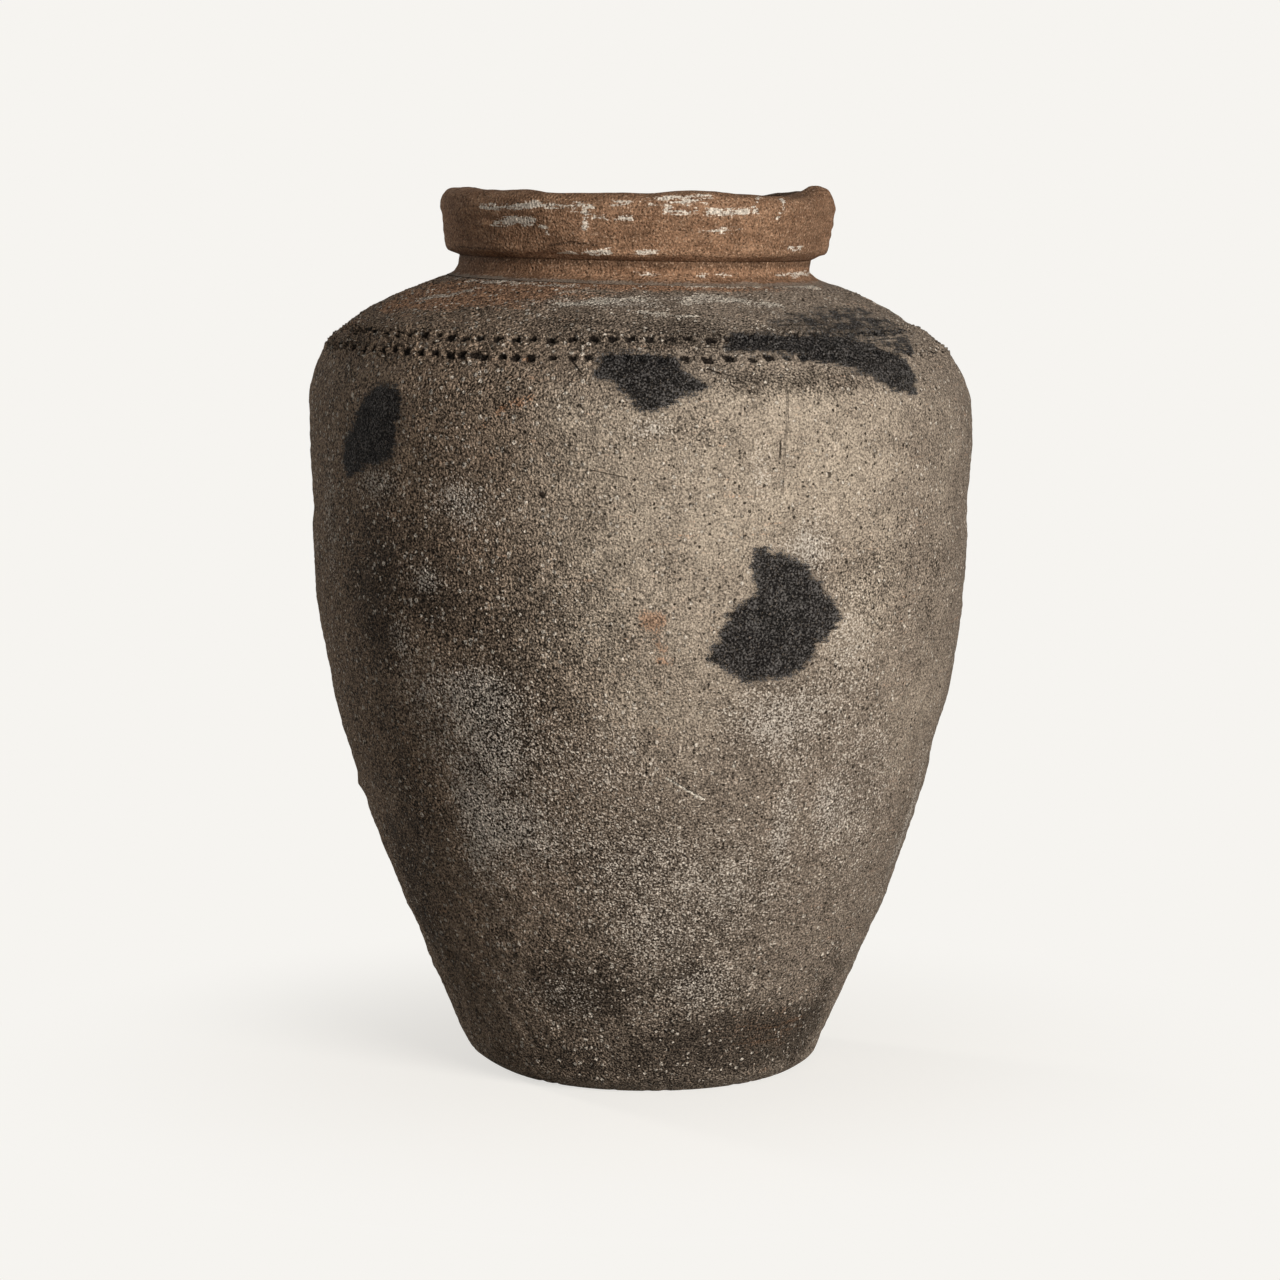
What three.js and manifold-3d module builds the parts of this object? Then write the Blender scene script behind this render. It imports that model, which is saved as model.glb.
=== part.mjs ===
// A large hand-built terracotta storage jar, in millimetres, +Z up, standing on Z = 0 about the Z axis.
// It is raised as a potter raises it: a beaten base slab, wall sections luted one on another with
// tongue-and-groove seams, a neck coil seated on the shoulder, and a rim coil folded down over the neck.
// Two rows of notches are pressed round the shoulder with a blunt stick.
import * as THREE from "three";
import { mergeGeometries, mergeVertices } from "three/addons/utils/BufferGeometryUtils.js";
import Module from "manifold-3d";

// Driving dimensions of the body's outer outline. Reaches are how far the outline keeps its direction.
const BASE_RADIUS = 102; // where the wall's line meets the floor
const FLARE_ANGLE = 25.5; // degrees that the wall leans out from the base
const FLARE_REACH = 231;
const BELLY_RADIUS = 200; // the widest ring
const BELLY_HEIGHT = 390;
const BELLY_REACH_BELOW = 99;
const BELLY_REACH_ABOVE = 27;
const SHOULDER_PITCH = 19.3; // degrees that the shoulder rises towards the neck
const SHOULDER_REACH = 98;
const SHOULDER_HEIGHT = 480.3; // where the shoulder meets the foot of the neck
const WALL = 14;

// The base slab, and the coil pressed into the inside corner above it.
const BASE_THICKNESS = 18;
const HEEL_RADIUS = 17; // the worn edge under the base
const CORNER_COIL_WIDTH = 20;
const CORNER_COIL_HEIGHT = 22;

// Heights of the outside of the luted seams between the wall sections.
const FOOT_SEAM_HEIGHT = 118;
const LOWER_SEAM_HEIGHT = 228;
const BELLY_SEAM_HEIGHT = 337;
const TONGUE_WIDTH = 6;
const TONGUE_HEIGHT = 4;
const SLIP_GAP = 0.3; // the film of luting slip in every seam

// The notched rows. A notch's size is that of its opening.
const UPPER_ROW_DROP = 67.2; // down the wall from the foot of the neck
const ROW_SPACING = 15.1; // down the wall from the upper row to the lower one
const NOTCHES = 96; // in a row
const NOTCH_WIDTH = 5.4;
const NOTCH_TALL = 5; // up the wall
const NOTCH_DEPTH = 2.4;
const NOTCH_TAPER = 0.3; // the share of its size that a notch loses on the way to its floor

// The neck and the rim collar, stacked up from the shoulder.
const MOUTH_RADIUS = 93;
const NECK_WALL = 13;
const NECK_FOOT = 8; // how far the neck's foot spreads over the shoulder
const NECK_TOE = 1.5; // thickness left at the edge of that foot
const NECK_FILLET_HEIGHT = 5;
const NECK_SHOWING = 2.4; // plain neck between the fillet and the collar
const COLLAR_DROP = 21.1; // how far the collar hangs down outside the neck
const LIP_HEIGHT = 21; // how far the collar stands above the neck
const COLLAR_THICKNESS = 13.2;
const COLLAR_TAPER = 4.2; // how far the hem draws in under the widest part
const COLLAR_BULGE_DROP = 11; // from the lip down to the collar's widest part
const HEM_RISE = 6.5; // how far the underside rises from the neck out to the hem
const HEM_ROUNDING = 4;
const LIP_ROUNDING = 10; // outer corner of the lip
const MOUTH_ROUNDING = 8; // inner corner of the lip

// Facets.
const SIDES = 48;
const WALL_STEPS = 4;
const BELOW_ROWS_STEPS = 6;
const ABOVE_ROWS_STEPS = 3;
const ROUNDING_STEPS = 4;
const STICK_SIDES = 4;

const CLAY = { body: 0x8d7d6b, rim: 0x87664f, base: 0x5d5148, inside: 0x6b5a4c };
const CLAY_ROUGHNESS = 0.95;

const wasm = await Module();
wasm.setup();

const at = (radius, height) => new THREE.Vector2(radius, height);
const flare = THREE.MathUtils.degToRad(FLARE_ANGLE);
const pitch = THREE.MathUtils.degToRad(SHOULDER_PITCH);
const neckRadius = MOUTH_RADIUS + NECK_WALL;
const neckFootRadius = neckRadius + NECK_FOOT;
const slope = Math.tan(pitch);
const seatHeight = (radius) => SHOULDER_HEIGHT + (neckFootRadius - radius) * slope;

// The outer outline: the flared wall, the shoulder that turns in over it, and the plain sloping seat
// that carries the neck. The first two are upright where they meet at the belly.
const base = at(BASE_RADIUS, 0);
const belly = at(BELLY_RADIUS, BELLY_HEIGHT);
const seatEdge = at(neckFootRadius, SHOULDER_HEIGHT);
const mouthEdge = at(MOUTH_RADIUS, seatHeight(MOUTH_RADIUS));
const wallCurve = new THREE.CubicBezierCurve(
  base,
  at(BASE_RADIUS + FLARE_REACH * Math.sin(flare), FLARE_REACH * Math.cos(flare)),
  at(BELLY_RADIUS, BELLY_HEIGHT - BELLY_REACH_BELOW),
  belly,
);
const shoulderCurve = new THREE.CubicBezierCurve(
  belly,
  at(BELLY_RADIUS, BELLY_HEIGHT + BELLY_REACH_ABOVE),
  at(neckFootRadius + SHOULDER_REACH * Math.cos(pitch), SHOULDER_HEIGHT - SHOULDER_REACH * Math.sin(pitch)),
  seatEdge,
);
const outline = new THREE.CurvePath();
outline.add(wallCurve);
outline.add(shoulderCurve);
outline.add(new THREE.LineCurve(seatEdge, mouthEdge));

// Points on the wall at a share of the way along the outline: on its outside, on its inside, and on
// the inside with room for a film of slip.
const outer = (share) => outline.getPoint(share);
function inner(share, depth = WALL) {
  const along = outline.getTangent(share);
  return outer(share).add(at(-along.y, along.x).multiplyScalar(depth));
}

// The share of the way along the outline where a rising measure passes zero, found by halving.
function shareWhere(measure) {
  let low = 0;
  let high = 1;
  for (let i = 0; i < 50; i++) {
    const middle = (low + high) / 2;
    if (measure(middle) < 0) low = middle;
    else high = middle;
  }
  return (low + high) / 2;
}
const shareAtHeight = (height) => shareWhere((share) => outer(share).y - height);

// Evenly spaced shares strictly between two others.
function between(from, to, steps) {
  const shares = [];
  for (let i = 1; i < steps; i++) shares.push(THREE.MathUtils.lerp(from, to, i / steps));
  return shares;
}

// The edge of a wall section square across the wall, from outside to inside, with the luting tongue
// standing up from its middle. The section above has the same edge, raised by the film of slip.
function seamEdge(share, lift) {
  const along = outline.getTangent(share);
  const across = at(-along.y, along.x);
  const point = (depth, rise) =>
    outer(share).addScaledVector(across, depth).addScaledVector(along, rise + lift);
  const middle = WALL / 2;
  return [
    point(0, 0),
    point(middle - TONGUE_WIDTH / 2, 0),
    point(middle, TONGUE_HEIGHT),
    point(middle + TONGUE_WIDTH / 2, 0),
    point(WALL, 0),
  ];
}

// A closed outline that runs up its outside, turned about the Y axis.
function turning(points) {
  return new THREE.LatheGeometry([...points, points[0].clone()], SIDES);
}

// A named piece of clay from a shape about the Y axis, stood up about Z.
function piece(name, geometry, color) {
  geometry.rotateX(Math.PI / 2);
  const material = new THREE.MeshStandardMaterial({ color, roughness: CLAY_ROUGHNESS, metalness: 0 });
  const mesh = new THREE.Mesh(geometry, material);
  mesh.name = name;
  return mesh;
}

function turned(name, points, color) {
  return piece(name, turning(points), color);
}

// The outline of a wall section between two edges that each run from outside to inside, through the
// shares of the whole outline that lie between them.
function wallOutline(lowEdge, highEdge, shares) {
  const outside = shares.map((share) => outer(share));
  const inside = shares.map((share) => inner(share)).reverse();
  return [lowEdge[0], ...outside, ...highEdge, ...inside, ...lowEdge.slice(1).reverse()];
}

// The base slab: a disc whose edge carries on the line of the wall, with a rounded heel.
function baseSlab() {
  const heelRun = HEEL_RADIUS / Math.tan((Math.PI / 2 + flare) / 2);
  const heel = new THREE.Path();
  heel.absarc(BASE_RADIUS - heelRun, HEEL_RADIUS, HEEL_RADIUS, -Math.PI / 2, -flare, false);
  const rim = outer(shareAtHeight(BASE_THICKNESS));
  return turned("base_slab", [at(0, 0), ...heel.getPoints(ROUNDING_STEPS), rim, at(0, BASE_THICKNESS)], CLAY.base);
}

// The wall stands on the slab with a level edge, where its own inside comes down to the slab.
const wallFootHeight = BASE_THICKNESS + SLIP_GAP;
const wallFootShare = shareAtHeight(wallFootHeight);
const innerFootShare = shareWhere((share) => inner(share).y - wallFootHeight);

// The coil in the inside corner, hollowed a little by the finger that pressed it in.
function cornerCoil() {
  const clear = WALL + SLIP_GAP;
  const shareOnWall = (height) => shareWhere((share) => inner(share, clear).y - height);
  const corner = inner(shareOnWall(wallFootHeight), clear);
  const top = inner(shareOnWall(BASE_THICKNESS + CORNER_COIL_HEIGHT), clear);
  const toe = at(corner.x - CORNER_COIL_WIDTH, wallFootHeight);
  const hollow = toe.clone().add(top).multiplyScalar(0.5).lerp(corner, 0.35);
  const face = new THREE.QuadraticBezierCurve(top, hollow, toe);
  return turned("base_corner_coil", [corner, ...face.getPoints(ROUNDING_STEPS)], CLAY.inside);
}

// A closed shape as a solid that can be cut: its faces share their corners, which hold only a position.
function solidOf(geometry) {
  const bare = new THREE.BufferGeometry();
  bare.setAttribute("position", geometry.getAttribute("position"));
  bare.setIndex(geometry.getIndex());
  const joined = mergeVertices(bare);
  const vertProperties = joined.getAttribute("position").array;
  const triVerts = new Uint32Array(joined.getIndex().array);
  return new wasm.Manifold(new wasm.Mesh({ numProp: 3, vertProperties, triVerts }));
}

// The end of the stick against the band of the shoulder between two points of its outline, at the front:
// a blunt block, square to the band and as deep as it stands out, that narrows inwards.
function stickEnd(low, high) {
  const rise = high.clone().sub(low);
  const middle = low.clone().lerp(high, 0.5);
  const end = new THREE.CylinderGeometry(1 + NOTCH_TAPER, 1 - NOTCH_TAPER, 2 * NOTCH_DEPTH, STICK_SIDES);
  end.rotateY(Math.PI / STICK_SIDES);
  end.scale(NOTCH_WIDTH / Math.SQRT2, 1, NOTCH_TALL / Math.SQRT2);
  end.rotateX(Math.atan2(rise.y, -rise.x));
  end.translate(0, middle.y, middle.x * Math.cos(Math.PI / SIDES));
  return end;
}

// A turned shape with a row of notches pressed into each of several bands, from the lowest up.
function notched(geometry, bandShares) {
  const ends = [];
  for (let band = 1; band < bandShares.length; band++) {
    for (let i = 0; i < NOTCHES; i++) {
      const end = stickEnd(outer(bandShares[band - 1]), outer(bandShares[band]));
      ends.push(end.rotateY(((i + 0.5) / NOTCHES) * 2 * Math.PI));
    }
  }
  const cut = solidOf(geometry).subtract(solidOf(mergeGeometries(ends))).getMesh();
  const result = new THREE.BufferGeometry();
  result.setAttribute("position", new THREE.BufferAttribute(cut.vertProperties, cut.numProp));
  result.setIndex(new THREE.BufferAttribute(cut.triVerts, 1));
  result.computeVertexNormals();
  return result;
}

// The wall sections, each standing on the tongue of the one below. Each notched row runs along the
// middle of a flat band of the shoulder.
function wallSections() {
  const footSeam = shareAtHeight(FOOT_SEAM_HEIGHT);
  const lowerSeam = shareAtHeight(LOWER_SEAM_HEIGHT);
  const bellySeam = shareAtHeight(BELLY_SEAM_HEIGHT);
  const slabEdge = [outer(wallFootShare), inner(innerFootShare)];
  const seatShare = shareWhere((share) => outer(share).y - SHOULDER_HEIGHT);
  const mouthShare = shareWhere((share) => (share < seatShare ? -1 : MOUTH_RADIUS - inner(share).x));
  const mouthCut = [outer(seatShare), mouthEdge, inner(mouthShare)];
  const stack = [
    ["foot_wall", slabEdge, seamEdge(footSeam, 0), between(wallFootShare, footSeam, WALL_STEPS)],
    ["lower_wall", seamEdge(footSeam, SLIP_GAP), seamEdge(lowerSeam, 0), between(footSeam, lowerSeam, WALL_STEPS)],
    ["belly_wall", seamEdge(lowerSeam, SLIP_GAP), seamEdge(bellySeam, 0), between(lowerSeam, bellySeam, WALL_STEPS)],
  ];
  const walls = stack.map(([name, ...section]) => turned(name, wallOutline(...section), CLAY.body));
  const bandShare = ROW_SPACING / outline.getLength();
  const upperRow = seatShare - UPPER_ROW_DROP / outline.getLength();
  const bands = [upperRow - 1.5 * bandShare, upperRow - 0.5 * bandShare, upperRow + 0.5 * bandShare];
  const shoulderShares = [
    ...between(bellySeam, bands[0], BELOW_ROWS_STEPS),
    ...bands,
    ...between(bands[2], seatShare, ABOVE_ROWS_STEPS),
  ];
  const shoulder = turning(wallOutline(seamEdge(bellySeam, SLIP_GAP), mouthCut, shoulderShares));
  return [...walls, piece("shoulder_wall", notched(shoulder, bands), CLAY.body)];
}

// Heights up the neck and collar, each stacked on the one before.
const filletTop = seatHeight(neckRadius) + NECK_FILLET_HEIGHT;
const creaseHeight = filletTop + NECK_SHOWING;
const neckTop = creaseHeight + COLLAR_DROP;
const lipTop = neckTop + LIP_HEIGHT;

// The neck coil, smoothed out over the shoulder at its foot.
function neckRing() {
  const lift = SLIP_GAP / Math.cos(pitch);
  const toe = at(neckFootRadius, SHOULDER_HEIGHT + lift);
  const toeTop = toe.clone().add(at(0, NECK_TOE));
  const fillet = new THREE.QuadraticBezierCurve(
    toeTop,
    at(neckRadius, seatHeight(neckRadius) + lift + NECK_TOE),
    at(neckRadius, filletTop),
  );
  return turned(
    "neck_ring",
    [
      toe,
      ...fillet.getPoints(ROUNDING_STEPS),
      at(neckRadius, neckTop),
      at(MOUTH_RADIUS, neckTop),
      mouthEdge.clone().add(at(0, lift)),
    ],
    CLAY.rim,
  );
}

// The rim collar: a fat coil set on the neck and folded down over its outside.
function rimCollar() {
  const hang = neckRadius + SLIP_GAP;
  const widest = hang + COLLAR_THICKNESS;
  const hem = widest - COLLAR_TAPER;
  const hemHeight = creaseHeight + HEM_RISE;
  const seat = neckTop + SLIP_GAP;
  const section = new THREE.Path();
  section.moveTo(hang, creaseHeight);
  section.lineTo(hem - HEM_ROUNDING, hemHeight);
  section.quadraticCurveTo(hem, hemHeight, hem, hemHeight + HEM_ROUNDING);
  section.lineTo(widest, lipTop - COLLAR_BULGE_DROP);
  section.quadraticCurveTo(widest, lipTop, widest - LIP_ROUNDING, lipTop);
  section.lineTo(MOUTH_RADIUS + MOUTH_ROUNDING, lipTop);
  section.quadraticCurveTo(MOUTH_RADIUS, lipTop, MOUTH_RADIUS, lipTop - MOUTH_ROUNDING);
  section.lineTo(MOUTH_RADIUS, seat);
  section.lineTo(hang, seat);
  return turned("rim_collar", section.getPoints(ROUNDING_STEPS), CLAY.rim);
}

const jar = new THREE.Group();
jar.name = "terracotta_jar";
jar.add(baseSlab(), cornerCoil(), ...wallSections(), neckRing(), rimCollar());

export default jar;
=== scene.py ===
"""A weathered, hand-built terracotta storage jar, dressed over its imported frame.

Blender works in metres here, with +Z up and the photographed side towards -Y. Sizes of the clay are
written in millimetres, as a potter would measure them, and turned to metres when a mesh is made.
"""
from collections import namedtuple

import bpy
import numpy as np
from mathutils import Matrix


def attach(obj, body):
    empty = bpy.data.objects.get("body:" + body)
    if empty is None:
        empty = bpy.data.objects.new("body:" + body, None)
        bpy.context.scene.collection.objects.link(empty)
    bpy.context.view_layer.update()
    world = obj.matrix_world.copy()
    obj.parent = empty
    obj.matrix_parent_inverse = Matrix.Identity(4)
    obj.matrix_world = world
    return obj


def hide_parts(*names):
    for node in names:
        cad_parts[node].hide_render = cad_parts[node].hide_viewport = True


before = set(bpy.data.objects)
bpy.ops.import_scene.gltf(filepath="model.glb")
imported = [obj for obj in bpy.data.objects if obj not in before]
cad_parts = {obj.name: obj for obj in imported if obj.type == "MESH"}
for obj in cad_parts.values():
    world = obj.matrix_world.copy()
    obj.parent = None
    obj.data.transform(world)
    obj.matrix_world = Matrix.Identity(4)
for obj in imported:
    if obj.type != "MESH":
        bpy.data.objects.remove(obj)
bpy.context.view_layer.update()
scene = bpy.context.scene

# The view
# The jar was photographed from just above its rim, with a long lens that looked down a little.
# The camera stands there, and its numbers also say where a pixel of that picture falls on the clay.
PHOTO_PIXELS = 1280
FOCAL_PIXELS = 3963
SENSOR_MM = 36.0
EYE = np.array([0.0, -2.406, 0.5564])
TILT = np.radians(7.03)

camera_lens = bpy.data.cameras.new("photo_camera")
camera_lens.sensor_width = SENSOR_MM
camera_lens.lens = SENSOR_MM * FOCAL_PIXELS / PHOTO_PIXELS
camera_lens.clip_end = 60.0
camera = bpy.data.objects.new("photo_camera", camera_lens)
camera.location = EYE
camera.rotation_euler = (np.pi / 2 - TILT, 0.0, 0.0)
scene.collection.objects.link(camera)
scene.camera = camera


def photo_pixels(points):
    """Where points in metres fall in the photograph: turn into the camera's frame, divide by depth."""
    offset = points - EYE
    depth = offset[..., 1] * np.cos(TILT) - offset[..., 2] * np.sin(TILT)
    rise = offset[..., 1] * np.sin(TILT) + offset[..., 2] * np.cos(TILT)
    middle = PHOTO_PIXELS / 2
    return np.stack([middle + FOCAL_PIXELS * offset[..., 0] / depth,
                     middle - FOCAL_PIXELS * rise / depth], axis=-1)


# The base slab
# A disc of clay beaten flat, with the wall's line carried down its edge to a heel worn round by use.
# The floor side stays flat. The left of the heel is worn more than the right, and chips are gone from it.
MM = 0.001
SIDES = 840
BASE_RADIUS = 102.0
FLARE_ANGLE = np.radians(25.5)
FLARE_REACH = 231.0
BELLY_RADIUS = 200.0
BELLY_HEIGHT = 390.0
BELLY_REACH_BELOW = 99.0
BELLY_REACH_ABOVE = 27.0
SHOULDER_PITCH = np.radians(19.3)
SHOULDER_REACH = 98.0
SHOULDER_HEIGHT = 480.3
NECK_FOOT_RADIUS = 114.0
MOUTH_RADIUS = 93.0
WALL = 14.0
BASE_THICKNESS = 18.0
CURVE_POINTS = 1500
LEDGE_POINTS = 100

angles = np.arange(SIDES) * (2 * np.pi / SIDES) - np.pi


def bezier(start, leave, arrive, end, count=CURVE_POINTS):
    """A cubic curve: its four control points weighted by the Bernstein polynomials of t from 0 to 1."""
    t = np.linspace(0.0, 1.0, count)[:, None]
    u = 1.0 - t
    return u**3 * start + 3 * u**2 * t * leave + 3 * u * t**2 * arrive + t**3 * end


def body_outline():
    """Radius and height of the turned body's outside: flared wall, shoulder, then the neck's plain seat."""
    base = np.array([BASE_RADIUS, 0.0])
    belly = np.array([BELLY_RADIUS, BELLY_HEIGHT])
    seat = np.array([NECK_FOOT_RADIUS, SHOULDER_HEIGHT])
    outwards = np.array([np.cos(SHOULDER_PITCH), -np.sin(SHOULDER_PITCH)])
    lean = FLARE_REACH * np.array([np.sin(FLARE_ANGLE), np.cos(FLARE_ANGLE)])
    mouth = seat + (NECK_FOOT_RADIUS - MOUTH_RADIUS) * np.array([-1.0, np.tan(SHOULDER_PITCH)])
    wall = bezier(base, base + lean, belly - [0.0, BELLY_REACH_BELOW], belly)
    shoulder = bezier(belly, belly + [0.0, BELLY_REACH_ABOVE], seat + SHOULDER_REACH * outwards, seat)
    ledge = np.linspace(seat, mouth, LEDGE_POINTS)
    return np.concatenate([wall, shoulder[1:], ledge[1:]])


def run_along(points):
    """Distances along a line of points from its start: the lengths of its steps, added up."""
    return np.concatenate([[0.0], np.cumsum(np.hypot(*np.diff(points, axis=0).T))])


outline = body_outline()
outline_run = run_along(outline)
outline_slope = np.gradient(outline, outline_run, axis=0)


def body_line(run):
    """Radius, height and outward direction at a distance in millimetres along the outline."""
    radius = np.interp(run, outline_run, outline[:, 0])
    height = np.interp(run, outline_run, outline[:, 1])
    out = np.interp(run, outline_run, outline_slope[:, 1])
    up = -np.interp(run, outline_run, outline_slope[:, 0])
    return radius, height, out, up


def body_radius(run):
    """The turned body's radius at a distance along the outline."""
    return body_line(run)[0]


def run_at_height(height):
    """Distance along the outline at which the outside reaches a height."""
    return np.interp(height, outline[:, 1], outline_run)


def eased(value, stations, levels):
    """Levels at stations, joined by smooth steps, so the curve is level at every station."""
    place = np.interp(value, stations, np.arange(len(stations)))
    low = np.minimum(place.astype(int), len(stations) - 2)
    share = place - low
    share = share * share * (3.0 - 2.0 * share)
    levels = np.asarray(levels, dtype=float)
    return levels[low] + share * (levels[low + 1] - levels[low])


# How the hand-built body departs from a turned one, by height: it tips down to the right at the
# shoulder, its middle drifts sideways, and it is a little out of round.
TIP_HEIGHTS = (330.0, 425.0, 484.0, 532.0)
TIPS = (0.0, 0.026, 0.024, 0.0)
DRIFT_HEIGHTS = (0.0, 24.0, 120.0, 300.0, 420.0, 478.0, 487.0, 497.0, 520.0)
DRIFTS = (3.1, 1.7, 1.8, 0.0, 0.0, -1.3, -3.6, -2.2, -1.8)
OVAL = 0.9
OVAL_WAVE = 95.0
TRUE_BELOW = 60.0


def handmade(angle, radius, height):
    """A turned point as built by hand, in metres: out of round by sin(2 x angle), tipped and drifted."""
    settled = np.clip(height / TRUE_BELOW, 0.0, 1.0)
    full = radius + OVAL * settled * np.sin(2 * angle) * np.sin(height / OVAL_WAVE)
    across = full * np.sin(angle)
    x = across + eased(height, DRIFT_HEIGHTS, DRIFTS)
    y = -full * np.cos(angle)
    z = height - across * eased(height, TIP_HEIGHTS, TIPS)
    return np.stack(np.broadcast_arrays(x, y, z), axis=-1) * MM


def ripples(angle, run, seed, turns, waves, count=32):
    """Seeded cosine waves on a grid of runs by angles, each whole times round the jar, of unit spread."""
    random = np.random.default_rng(seed)
    around = random.integers(turns[0], turns[1] + 1, count) * random.choice((-1, 1), count)
    along = 2 * np.pi / random.uniform(waves[0], waves[1], count)
    phase = random.uniform(0.0, 2 * np.pi, count)
    rows = np.outer(run, along) + phase
    columns = np.outer(around, angle)
    return (np.cos(rows) @ np.cos(columns) - np.sin(rows) @ np.sin(columns)) * np.sqrt(2.0 / count)


def turned_from(angle, centre):
    """An angle less another, brought to within half a turn either way."""
    return np.angle(np.exp(1j * (angle - centre)))


def humps(angle, run, places):
    """The sum of bells on the unrolled clay: each has an angle, a run, a width, a length and a strength."""
    total = np.zeros((len(run), len(angle)))
    for centre, along, width, tall, strength in places:
        round_jar = turned_from(angle, centre) * body_radius(along) / width
        total += strength * np.exp(-((run - along) / tall)**2)[:, None] * np.exp(-round_jar**2)[None, :]
    return total


def on_clay(spots):
    """Places for humps from spots given by degrees round to the right of the front, and height."""
    return [(np.radians(degrees), run_at_height(height), *rest) for degrees, height, *rest in spots]


LUMP_MM = 0.55
DENT_MM = 0.22
WIPE_MM = 0.08
SAND_MM = 0.05
HEEL_FADE = 26.0
NECK_FADE = 4.0
# Where the beaten wall swells or sinks: degrees, height, spread round and up it, and millimetres.
SWELLS = on_clay((
    (-88, 173, 9, 5, 2.2), (-90, 425, 120, 17, -1.9), (90, 393, 120, 22, 1.7), (-90, 346, 110, 18, -2.2),
    (90, 345, 110, 18, -1.2), (90, 203, 100, 18, -2.2), (-90, 131, 90, 20, -1.6), (-90, 43, 80, 20, -1.5),
    (-90, 101, 80, 10, 1.2), (-90, 460, 70, 9, 0.4), (-66, 462, 9, 5, 0.9), (-70, 447, 8, 4, 1.0),
    (84, 457, 50, 7, -2.2), (-86, 448, 40, 6, -1.4),
))


def wall_relief(angle, run):
    """Millimetres that the beaten clay stands proud: lumps, dents, level wipes, sand and swells.

    It dies out at the floor and at the neck's foot.
    """
    lumps = LUMP_MM * ripples(angle, run, 11, (2, 9), (70.0, 240.0))
    dents = DENT_MM * ripples(angle, run, 12, (12, 60), (16.0, 60.0), 48)
    wipes = WIPE_MM * ripples(angle, run, 13, (0, 5), (4.0, 11.0), 40)
    sand = SAND_MM * ripples(angle, run, 14, (110, 230), (4.5, 9.0), 64)
    ends = (0.0, HEEL_FADE, SHOULDER_HEIGHT - NECK_FADE, SHOULDER_HEIGHT)
    rest = eased(body_line(run)[1], ends, (0.0, 1.0, 1.0, 0.0))
    return (lumps + dents + wipes + sand + humps(angle, run, SWELLS)) * rest[:, None]


def pushed_out(angle, line, proud):
    """A line of radius, height and outward direction, carried round, pushed out, then built by hand."""
    radius, height, out, up = (part[:, None] for part in line)
    return handmade(angle[None, :], radius + out * proud, height + up * proud)


def wall_surface(angle, run, relief=wall_relief):
    """The body's outside on a grid of runs by angles: the outline pushed out by its relief."""
    return pushed_out(angle, body_line(run), relief(angle, run))


NORMAL_STEP = 0.8


def facing(across, upwards):
    """Directions of unit length square to two sets of directions, by their cross product."""
    square = np.cross(across, upwards)
    return square / np.maximum(np.linalg.norm(square, axis=-1, keepdims=True), 1e-12)


def grid_normals(points, closed_rows=False):
    """Outward directions of a grid that closes round the jar: across one way crossed with up the other."""
    across = np.roll(points, -1, axis=1) - np.roll(points, 1, axis=1)
    if closed_rows:
        return facing(across, np.roll(points, -1, axis=0) - np.roll(points, 1, axis=0))
    return facing(across, np.gradient(points, axis=0))


def surface_normals(surface, angle, run):
    """Outward directions of a surface: its change round the jar crossed with its change along it."""
    points = surface(angle, run)
    across = np.roll(points, -1, axis=1) - np.roll(points, 1, axis=1)
    return facing(across, surface(angle, run + NORMAL_STEP) - surface(angle, run - NORMAL_STEP))


def clay_piece(name, points, normals, stains, materials, inner_from, poles=None):
    """A closed piece from a grid of points: each face joins four neighbours round and along the grid.

    The rows close on themselves, or end in two poles on the axis. Rows from inner_from on take the
    second material. Stains are named numbers for each point of the grid, or for whole rows or columns.
    """
    rows, columns = points.shape[:2]
    index = np.arange(rows * columns).reshape(rows, columns)
    right = np.roll(index, -1, axis=1)
    if poles is None:
        low, high = index, np.roll(index, -1, axis=0)
        low_right, high_right = right, np.roll(right, -1, axis=0)
    else:
        low, high, low_right, high_right = index[:-1], index[1:], right[:-1], right[1:]
    faces = np.stack([low, low_right, high_right, high], axis=-1).reshape(-1, 4).tolist()
    vertices = points.reshape(-1, 3)
    directions = normals.reshape(-1, 3)
    extra = 0
    if poles is not None:
        count = rows * columns
        first = np.stack([right[0], index[0], np.full(columns, count)], axis=-1)
        last = np.stack([index[-1], right[-1], np.full(columns, count + 1)], axis=-1)
        faces += first.tolist() + last.tolist()
        vertices = np.concatenate([vertices, poles])
        directions = np.concatenate([directions, [[0.0, 0.0, -1.0], [0.0, 0.0, 1.0]]])
        extra = 2
    mesh = bpy.data.meshes.new(name)
    mesh.from_pydata(vertices.tolist(), [], faces)
    slots = np.zeros(len(faces), dtype=np.int32)
    slots[inner_from * columns:] = 1
    for material in materials:
        mesh.materials.append(material)
    mesh.polygons.foreach_set("material_index", slots)
    mesh.polygons.foreach_set("use_smooth", np.ones(len(faces), dtype=bool))
    for stain, amount in stains.items():
        values = np.concatenate([np.broadcast_to(amount, (rows, columns)).ravel(), np.zeros(extra)])
        mesh.attributes.new(stain, "FLOAT", "POINT").data.foreach_set("value", values.astype(np.float32))
    mesh.update()
    mesh.normals_split_custom_set_from_vertices(directions.tolist())
    piece = bpy.data.objects.new(name, mesh)
    scene.collection.objects.link(piece)
    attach(piece, "root")
    return piece


# A skin is a surface on a grid of runs by angles, its radius at a run, and the runs that it covers.
Skin = namedtuple("Skin", "surface radius runs")
FRONT_DEGREES = 94.0
FRONT_STEP = 0.4
BODY_SKIN_STEP = 2.0


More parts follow.
